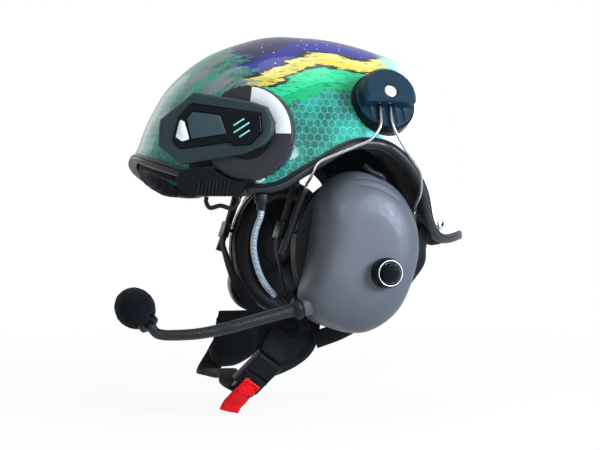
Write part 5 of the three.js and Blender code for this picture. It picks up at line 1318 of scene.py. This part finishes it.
chin_places = [(49.829, -84.42, -106.719), (48.843, -86.045, -108.637), (44.5, -87.5, -107),
               (35, -87, -104.5), (18, -82, -98), (0, -79, -95), (-20, -81, -98),
               (-36, -86, -104.5), (-50.983, -80.027, -100.757), (-56.462, -71, -90.104),
               (-58.817, -67, -83.946), (-60.401, -62.8, -78.401)]
chin_widths = [(-0.275, 0.799, -0.535), (-0.266, 0.813, -0.518), (-0.227, 0.868, -0.441),
               (-0.143, 0.95, -0.278), (-0.037, 0.997, -0.071), (0, 1, 0), (0.061, 0.995, -0.077),
               (0.225, 0.947, -0.228), (0.39, 0.807, -0.443), (0.3, 0.799, -0.521),
               (0.222, 0.8, -0.557), (0.138, 0.807, -0.574)]
chin_frames = strap_frames(chin_places, chin_widths)
chin_strap = strap("chin_strap_woven", chin_frames, 18, 1.9, webbing)
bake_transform(chin_strap)
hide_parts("chin_strap")

band_places = [(61.3, -49.5, -61), (61.3, -54, -67), (61.236, -58, -72.245),
               (62.938, -60.769, -78.167), (61.952, -62.394, -80.085)]
band_widths = [(0, 0.831, -0.557), (0, 0.831, -0.557), (-0.036, 0.823, -0.567),
               (-0.134, 0.807, -0.575), (-0.165, 0.804, -0.571)]
band_frames = strap_frames(band_places, band_widths, 4, 1.5)
buckle_band = strap("buckle_band_woven", band_frames, 20, 1.9, webbing)
stand_for(buckle_band, "buckle_band", slot="webbing")

tab_places = [(61.722, -75.815, -99.993), (58.069, -81.833, -107.095), (53.725, -85.247, -111.825),
              (46.598, -87.665, -117.374), (40.352, -89.285, -124.053)]
tab_frames = strap_frames(tab_places, [(-0.275, 0.799, -0.535)] * 5, 5, 1.0)
pull_tab = strap("pull_tab_woven", tab_frames, 16, 1.8, red_webbing)
for vertex in pull_tab.data.vertices:
    at = vertex.co / MM
    edge_share = min(max((-122.0 - at.z) / 2.0, 0), 1)
    ripple = noise.noise(at * 0.13) * 0.5 + edge_share * noise.noise(at * 1.7) * 0.5
    vertex.co += vertex.normal * ripple * MM
stand_for(pull_tab, "pull_tab", slot="red_webbing")
print("straps swept, chin strap", round(path_length([f[0] for f in chin_frames])), "mm")

# %% [markdown]
# ## Cheek flaps
#
# Two layers of knit over a thin foam, sewn together and bound along the rear and lower edge.
# Padded cloth takes its form from the air or foam that pushes it out, so we let the cloth
# solver do that: a thin closed panel is remeshed, given a little pressure for twenty frames
# and held to within a millimetre and a half. The stitched valley comes after it.

# %% Simulate a padded panel
flap_rows = [(0, 0.13, 0.96), (0.05, 0.11, 0.975), (0.26, 0.067, 0.958), (0.48, 0.033, 0.917),
             (0.65, 0.01, 0.833), (0.8, 0, 0.717), (0.91, 0.017, 0.55), (0.98, 0.083, 0.4),
             (1, 0.15, 0.283)]


FLAP_X, FLAP_TOP, FLAP_HEIGHT, FLAP_FRONT, FLAP_LENGTH = 57, -50, 46, -77, 60
CURL_TOP, CURL_RADIUS = -70, 35


def flap_place(y, z, out):
    drop = max(CURL_TOP - z, 0)
    tilt = math.atan(drop / CURL_RADIUS)
    inwards = drop * drop / (2 * CURL_RADIUS)
    return Vector((FLAP_X - inwards + out * math.cos(tilt), y, z - out * math.sin(tilt)))


def flap_edge(fall, share):
    for (f0, a0, b0), (f1, a1, b1) in zip(flap_rows, flap_rows[1:]):
        if f0 <= fall <= f1:
            t = (fall - f0) / (f1 - f0)
            front, rear = a0 + (a1 - a0) * t, b0 + (b1 - b0) * t
            return FLAP_FRONT + FLAP_LENGTH * (front + (rear - front) * share)
    return FLAP_FRONT + FLAP_LENGTH * flap_rows[-1][1]


flap_outline = [(flap_edge(f, 0), FLAP_TOP - FLAP_HEIGHT * f) for f, a, b in flap_rows]
flap_outline += [(flap_edge(f, 1), FLAP_TOP - FLAP_HEIGHT * f) for f, a, b in flap_rows[::-1]]


def edge_distance(y, z, outline):
    point = Vector((y, z))
    best = 1e9
    for k in range(len(outline)):
        a, b = Vector(outline[k]), Vector(outline[(k + 1) % len(outline)])
        share = min(max((point - a).dot(b - a) / max((b - a).length_squared, 1e-9), 0), 1)
        best = min(best, (a.lerp(b, share) - point).length)
    return best


def padded_panel(name, finish):
    loops = []
    for i in range(25):
        fall = 0.012 + 0.976 * i / 24
        z = FLAP_TOP - FLAP_HEIGHT * fall
        front, rear = flap_edge(fall, 0) + 1.0, flap_edge(fall, 1) - 1.0
        loop = []
        for k in range(44):
            a = 2 * math.pi * k / 44
            y = (front + rear) / 2 + (rear - front) / 2 * blunt(math.cos(a), 0.7)
            thin = min(1.0, 0.35 + min(i, 24 - i) / 3)
            out = 2.1 * thin * blunt(math.sin(a), 0.4)
            loop.append(flap_place(y, z, out))
        loops.append(loop)
    return loft(name, loops, finish)


def inflated(piece, voxel_mm, pressure, cap_mm):
    bpy.context.view_layer.objects.active = piece
    remesh = piece.modifiers.new("remesh", "REMESH")
    remesh.mode = "VOXEL"
    remesh.voxel_size = voxel_mm * MM
    mesh = baked(piece)
    piece.data = mesh
    start = [v.co.copy() for v in mesh.vertices]
    cloth = piece.modifiers.new("cloth", "CLOTH")
    cloth.settings.use_pressure = True
    cloth.settings.uniform_pressure_force = pressure
    cloth.settings.quality = 5
    cloth.settings.effector_weights.gravity = 0
    cloth.point_cache.frame_start, cloth.point_cache.frame_end = 1, 20
    for frame_number in range(1, 21):
        bpy.context.scene.frame_set(frame_number)
    moved = baked(piece)
    for vertex, was, now in zip(mesh.vertices, start, moved.vertices):
        step = now.co - was
        if step.length > cap_mm * MM:
            step = step.normalized() * cap_mm * MM
        vertex.co = was + step
    bpy.context.scene.frame_set(1)
    smooth = piece.modifiers.new("smooth", "SUBSURF")
    smooth.levels = smooth.render_levels = 1
    piece.data = baked(piece)
    piece.data.shade_smooth()
    return piece


STITCH_INSET, STITCH_WIDTH, STITCH_DEPTH = 8.5, 0.9, 0.75
flap = inflated(padded_panel("cheek_flap_padded_left", knit), voxel_mm=2.2, pressure=4.0,
                cap_mm=1.5)
for vertex in flap.data.vertices:
    at = vertex.co / MM
    inset = edge_distance(at.y, at.z, flap_outline)
    valley = math.exp(-((inset - STITCH_INSET) / STITCH_WIDTH) ** 2)
    vertex.co -= vertex.normal * STITCH_DEPTH * valley * MM
stand_for(flap, "cheek_flap_left", slot="lining_fabric")


def mirrored(piece, name):
    mesh = piece.data.copy()
    mesh.name = name
    for vertex in mesh.vertices:
        vertex.co.x = -vertex.co.x
    mesh.flip_normals()
    return link_new(name, mesh)


flap_right = mirrored(flap, "cheek_flap_padded_right")
stand_for(flap_right, "cheek_flap_right", slot="lining_fabric")

# %% Bind the flaps
rear_edge = rounded_path([(0, flap_edge(f, 1) - 2.6 - 2.0 * (f > 0.7), -50.5 - 44.5 * f)
                          for f in (0.02, 0.12, 0.26, 0.48, 0.65, 0.8, 0.91, 0.98)]
                         + [(0, -71.5, -94.6), (0, -74.6, -91.5), (0, -74.8, -84)], 4, 4)
rear_edge = even_path(rear_edge, 60)
binding_loops = []
for i, point in enumerate(rear_edge):
    run = run_at(rear_edge, i)
    outwards = Vector((0, -run.z, run.y))
    loop = []
    for k in range(20):
        a = 2 * math.pi * k / 20
        away = 2.7 * blunt(math.cos(a), 0.8)
        up = 3.35 * blunt(math.sin(a), 0.5)
        spot = point - outwards * away
        loop.append(flap_place(spot.y, spot.z, up))
    binding_loops.append(loop)
binding = loft("flap_binding_left", binding_loops, binding_tape)
carry(binding, "helmet")
binding_right = mirrored(binding, "flap_binding_right")
carry(binding_right, "helmet")
print("binding", round(path_length(rear_edge)), "mm a side")

# %% [markdown]
# ## Ear cushions
#
# Each cushion is a ring of soft foam in leatherette, glued to its plate. The skin is welded
# from two pieces, so a seam runs round the outer wall, and the inner wall, being shorter,
# gathers into small pleats. Loops of the ring's section are pressed in by these rules.

# %% Pad the cushions
cushion_section = [(0.12, 0), (0.03, 0.1), (0, 0.28), (0.0, 0.45), (0.03, 0.62), (0.09, 0.79),
                   (0.2, 0.92), (0.33, 0.985), (0.46, 1), (0.6, 0.98), (0.74, 0.93), (0.86, 0.82),
                   (0.94, 0.65), (0.965, 0.48), (0.97, 0.3), (0.94, 0.14), (0.85, 0)]
CUSHION_FACE, CUSHION_DEPTH, CUSHION_BREADTH, CUSHION_STEPS = 81.2, 12, 15, 150
CUSHION_HALF_Y, CUSHION_HALF_Z = 46, 58
EAR_Y, EAR_Z = -3.5, 2
for side, sign in (("left", 1), ("right", -1)):
    loops = []
    for i in range(CUSHION_STEPS):
        turn = 2 * math.pi * i / CUSHION_STEPS
        pleat = noise.noise(Vector((math.cos(turn) * 9, math.sin(turn) * 9, sign * 3)))
        gather = noise.noise(Vector((math.cos(turn) * 3, math.sin(turn) * 3, 7)))
        loop = []
        for inset, rise in cushion_section:
            press = 0.45 * math.exp(-((rise - 0.45) / 0.07) ** 2) if inset < 0.2 else 0
            press += max(inset - 0.35, 0) * 1.6 * max(pleat, 0) * math.sin(rise * math.pi)
            press += 0.25 * gather
            reach = inset * CUSHION_BREADTH + press * (1 if inset < 0.5 else -1)
            thick = rise * (CUSHION_DEPTH - 0.35 * abs(gather))
            loop.append(Vector((sign * (CUSHION_FACE - thick),
                                EAR_Y + (CUSHION_HALF_Y - reach) * math.cos(turn),
                                EAR_Z + (CUSHION_HALF_Z - reach) * math.sin(turn))))
        loops.append(loop)
    cushion = loft("leather_cushion_" + side, loops, leather, ring=True)
    stand_for(cushion, "cushion_" + side, slot="cushion_leather")

# %% [markdown]
# ## Speakers
#
# Behind the plate's hole sits a flat speaker under a grille. The body is a turned profile.
# The grille's holes are dark flat discs on its face, painted shade where each hole is: one
# short cone on every point of a triangular grid, set by a tree.

# %% Turn the speakers and grow their grilles
GRILLE_X, GRILLE_RADIUS, HOLE_PITCH, ROW_PITCH = 87.77, 12.5, 2.4, 2.08
speaker_profile = eased([(0, 0), (18.9, 0), (19, 3), (13.3, 10), (0, 10)], 0.6)
tree, entry = start_tree("grille_hole_painted_shade", Radius=0, Depth=0)
# Each hole is a thin dark disc on the speaker's face: painted shade
hole = add_node(tree, "GeometryNodeMeshCone", {
    "Vertices": 10, "Radius Top": entry.outputs["Radius"], "Radius Bottom": entry.outputs["Radius"],
    "Depth": entry.outputs["Depth"]})
placed = face_points(tree, entry, hole)
end_tree(tree, placed, trim_rubber)
for side, sign in (("left", 1), ("right", -1)):
    speaker = turned_piece("speaker_body_" + side, speaker_profile,
                           (CUP_RIM_X * sign, EAR_Y, EAR_Z), (sign, 0, 0), ring_plastic, 48)
    stand_for(speaker, "speaker_" + side, slot="speaker_plastic")
    spots = [Vector((GRILLE_X * sign, EAR_Y + HOLE_PITCH * (column + (row % 2) / 2),
                     EAR_Z + ROW_PITCH * row)) for row in range(-6, 7) for column in range(-6, 7)]
    spots = [p for p in spots if Vector((p.y - EAR_Y, p.z - EAR_Z)).length < GRILLE_RADIUS]
    grille = grow(seed_points("speaker_grille_" + side, spots, [(-sign, 0, 0)] * len(spots)),
                  tree, Radius=0.0007, Depth=0.00008)
    carry(grille, "cup_" + side)

# %% [markdown]
# ## Inlays on the intercom
#
# A white lamp window and three short cyan bars lie in the glossy panel, and a white sector
# on the grey ring. Each is a thin plate on the face that carries it, a quarter of a
# millimetre proud, as a moulded inlay is. They are laid out in the intercom's own frame:
# along the face, up and outwards.

# %% Lay the inlays
def on_intercom(along, up, out):
    return Vector((98, -117.8, 94)) + Vector((0.6, 0.8, 0)) * along + Vector((0, 0, up)) \
        + Vector((0.8, -0.6, 0)) * out


def plate(name, outline, out, rise, finish):
    loops = [[on_intercom(u, v, out) for u, v in outline],
             [on_intercom(u, v, out + rise * 0.6) for u, v in outline]]
    middle = Vector((sum(u for u, v in outline), sum(v for u, v in outline))) / len(outline)
    shrunk = [Vector(p) + (middle - Vector(p)).normalized() * 0.25 for p in outline]
    loops.append([on_intercom(p.x, p.y, out + rise) for p in shrunk])
    carry(loft(name, loops, finish, sharp=40), "helmet")


window = [(-27.4, 7.7), (-24, 7.4), (-19.8, -6.7), (-25.7, -8.4), (-30.8, -4.8)]
window = [tuple(p[:2]) for p in rounded_path([(u, v, 0) for u, v in window + window[:2]], 1.2, 3)]
plate("lamp_window", window[4:-1], 1.25, 0.3, lamp_window)
bars = [((15.5, 2.9), (23.2, 7.4)), ((15.9, -2.3), (27.4, 4.5)), ((20.2, -5.6), (27.7, -1.1))]
for number, (start, end) in enumerate(bars):
    start, end = Vector(start), Vector(end)
    run = (end - start).normalized()
    turn = math.atan2(run.y, run.x)
    outline = [tuple(end + 0.55 * Vector((math.cos(turn + a), math.sin(turn + a))))
               for a in (-1.57, -0.8, 0, 0.8, 1.57)]
    outline += [tuple(start + 0.55 * Vector((math.cos(turn + a), math.sin(turn + a))))
                for a in (1.57, 2.4, 3.14, 3.9, 4.71)]
    plate("cyan_bar_" + str(number + 1), outline, 1.28, 0.2, light_bar)
RING_ALONG, RING_UP = 22.3, -2.2
sector_loops = []
for i in range(49):
    turn = math.radians(-2 + 85 * i / 48)
    radii = [(22.7, -8.6), (22.7, -8.2), (23.0, -8.08), (34.2, -8.08), (34.5, -8.2), (34.5, -8.6)]
    sector_loops.append([on_intercom(RING_ALONG + radius * math.cos(turn),
                                     RING_UP + radius * math.sin(turn), out)
                         for radius, out in radii])
sector = loft("white_ring_sector", sector_loops, white_plastic, sharp=40)
carry(sector, "dial")

# %% Grow the ribs of the ring's grip and of the clamp
def rib_tree(name, finish):
    tree, entry = start_tree(name, Width=0, Height=0, Depth=0)
    size = add_node(tree, "ShaderNodeCombineXYZ", {0: entry.outputs["Width"],
                                                   1: entry.outputs["Depth"],
                                                   2: entry.outputs["Height"]})
    rib = add_node(tree, "GeometryNodeMeshCube", {"Size": size})
    facing = add_node(tree, "GeometryNodeInputNamedAttribute", {"Name": "facing"},
                      data_type="FLOAT_VECTOR")
    stood = add_node(tree, "FunctionNodeAlignRotationToVector", {"Vector": (0.8, -0.6, 0)},
                     axis="Z")
    turned = add_node(tree, "FunctionNodeAlignRotationToVector", {
        "Rotation": stood, "Vector": facing}, axis="Y", pivot_axis="Z")
    placed = add_node(tree, "GeometryNodeInstanceOnPoints", {
        0: entry.outputs[0], "Instance": rib, "Rotation": turned})
    end_tree(tree, placed, finish)
    return tree


GRIP_RADIUS = 36.2
spots, facings = [], []
for i in range(15):
    turn = math.radians(-44 + 2.2 * i)
    spots.append(on_intercom(RING_ALONG + GRIP_RADIUS * math.cos(turn),
                             RING_UP + GRIP_RADIUS * math.sin(turn), -12.5))
    facings.append(Vector((0.6, 0.8, 0)) * math.cos(turn) + Vector((0, 0, math.sin(turn))))
ribs = grow(seed_points("ring_grip_ribs", spots, facings), rib_tree("grip_ribs", key_rubber),
            Width=0.0008, Height=0.007, Depth=0.0012)
carry(ribs, "dial")
spots = [on_intercom(-14 + 2.9 * i, -43.4, -4) for i in range(9)]
facings = [Vector((0.16 * 0.6, 0.16 * 0.8, 1)).normalized()] * len(spots)
clamp_ribs = grow(seed_points("rim_clamp_ribs", spots, facings),
                  rib_tree("clamp_ribs", sleeve_rubber), Width=0.0013, Height=0.0022, Depth=0.0105)
carry(clamp_ribs, "helmet")

# %% [markdown]
# ## Stitches
#
# Every seam that shows is a run of short raised stitches, about three millimetres each. One
# tree lays a small pointed bead on each point and turns it along the seam. The rows are
# collected for each body, because a plain mesh can ride on only one.

# %% Sew the seams
tree, entry = start_tree("stitches", Length=0, Thickness=0)
bead = add_node(tree, "GeometryNodeMeshUVSphere", {"Segments": 6, "Rings": 4, "Radius": 1.0})
size = add_node(tree, "ShaderNodeCombineXYZ", {0: entry.outputs["Thickness"],
                                               1: entry.outputs["Thickness"],
                                               2: entry.outputs["Length"]})
bead = add_node(tree, "GeometryNodeTransform", {0: bead, "Scale": size})
placed = face_points(tree, entry, bead)
end_tree(tree, placed, webbing)
rows = {"helmet": [], "lever": []}


def sew(body, path, pitch=3.0):
    count = max(2, round(path_length(path) / pitch) + 1)
    path = even_path(path, count)
    for a, b in zip(path, path[1:]):
        rows[body].append(((a + b) / 2, (b - a).normalized()))


def box_seam(body, frames, start, end, half_width, lift):
    start, end = frames[start], frames[end]
    corners = [start[0] - start[2] * half_width + start[3] * lift,
               start[0] + start[2] * half_width + start[3] * lift,
               end[0] + end[2] * half_width + end[3] * lift,
               end[0] - end[2] * half_width + end[3] * lift]
    for a, b in ((0, 1), (1, 2), (2, 3), (3, 0), (0, 2), (1, 3)):
        sew(body, [corners[a], corners[b]], 2.4)


SEAM_END_Y, SEAM_INSET, SEAM_RISE = -19, 3.6, 2.75
for sign in (1, -1):
    for out in (SEAM_RISE, -SEAM_RISE):
        inset = []
        for k, point in enumerate(rear_edge):
            run = run_at(rear_edge, k)
            spot = point + Vector((0, -run.z, run.y)) * -SEAM_INSET
            if spot.y < SEAM_END_Y:
                place_on_flap = flap_place(spot.y, spot.z, out)
                place_on_flap.x *= sign
                inset.append(place_on_flap)
        sew("helmet", inset, 3.0)
for lift in (1.0, -1.0):
    box_seam("lever", tab_frames, 2, 12, 6.2, lift)
    box_seam("helmet", chin_frames, -14, -4, 7.0, lift)
    box_seam("helmet", band_frames, 1, 6, 8.0, lift)
for body, name in (("helmet", "harness_stitches"), ("lever", "tab_stitches")):
    seam = seed_points(name, [p for p, run in rows[body]], [run for p, run in rows[body]])
    seam = grow(seam, tree, Length=0.0012, Thickness=0.0003)
    carry(seam, body)
    if body == "lever":
        seam.data.materials[0] = red_webbing

# %% [markdown]
# ## The cup's cable
#
# A short cable comes down out of the liner into a moulded elbow on top of each cup, so that
# both speakers are fed. It is a stub between two pieces that hold it, drawn as one soft tube
# with a thicker elbow, and it rides with the cup.

# %% Draw the elbow and its cable
for side, sign in (("left", 1), ("right", -1)):
    bend = spline_path(across([(97.5, 3, 69.5), (99.5, 5.5, 66), (100.5, 9.5, 63.2),
                               (100.5, 14.5, 61.2), (99, 17.8, 58.6), (98, 18.4, 55.5)], sign))
    loops = tube_loops(even_path(bend, 26), lambda share: 2.3 + 0.9 * share, 18)
    elbow = loft("cup_cable_elbow_" + side, loops, sleeve_rubber)
    carry(elbow, "cup_" + side)
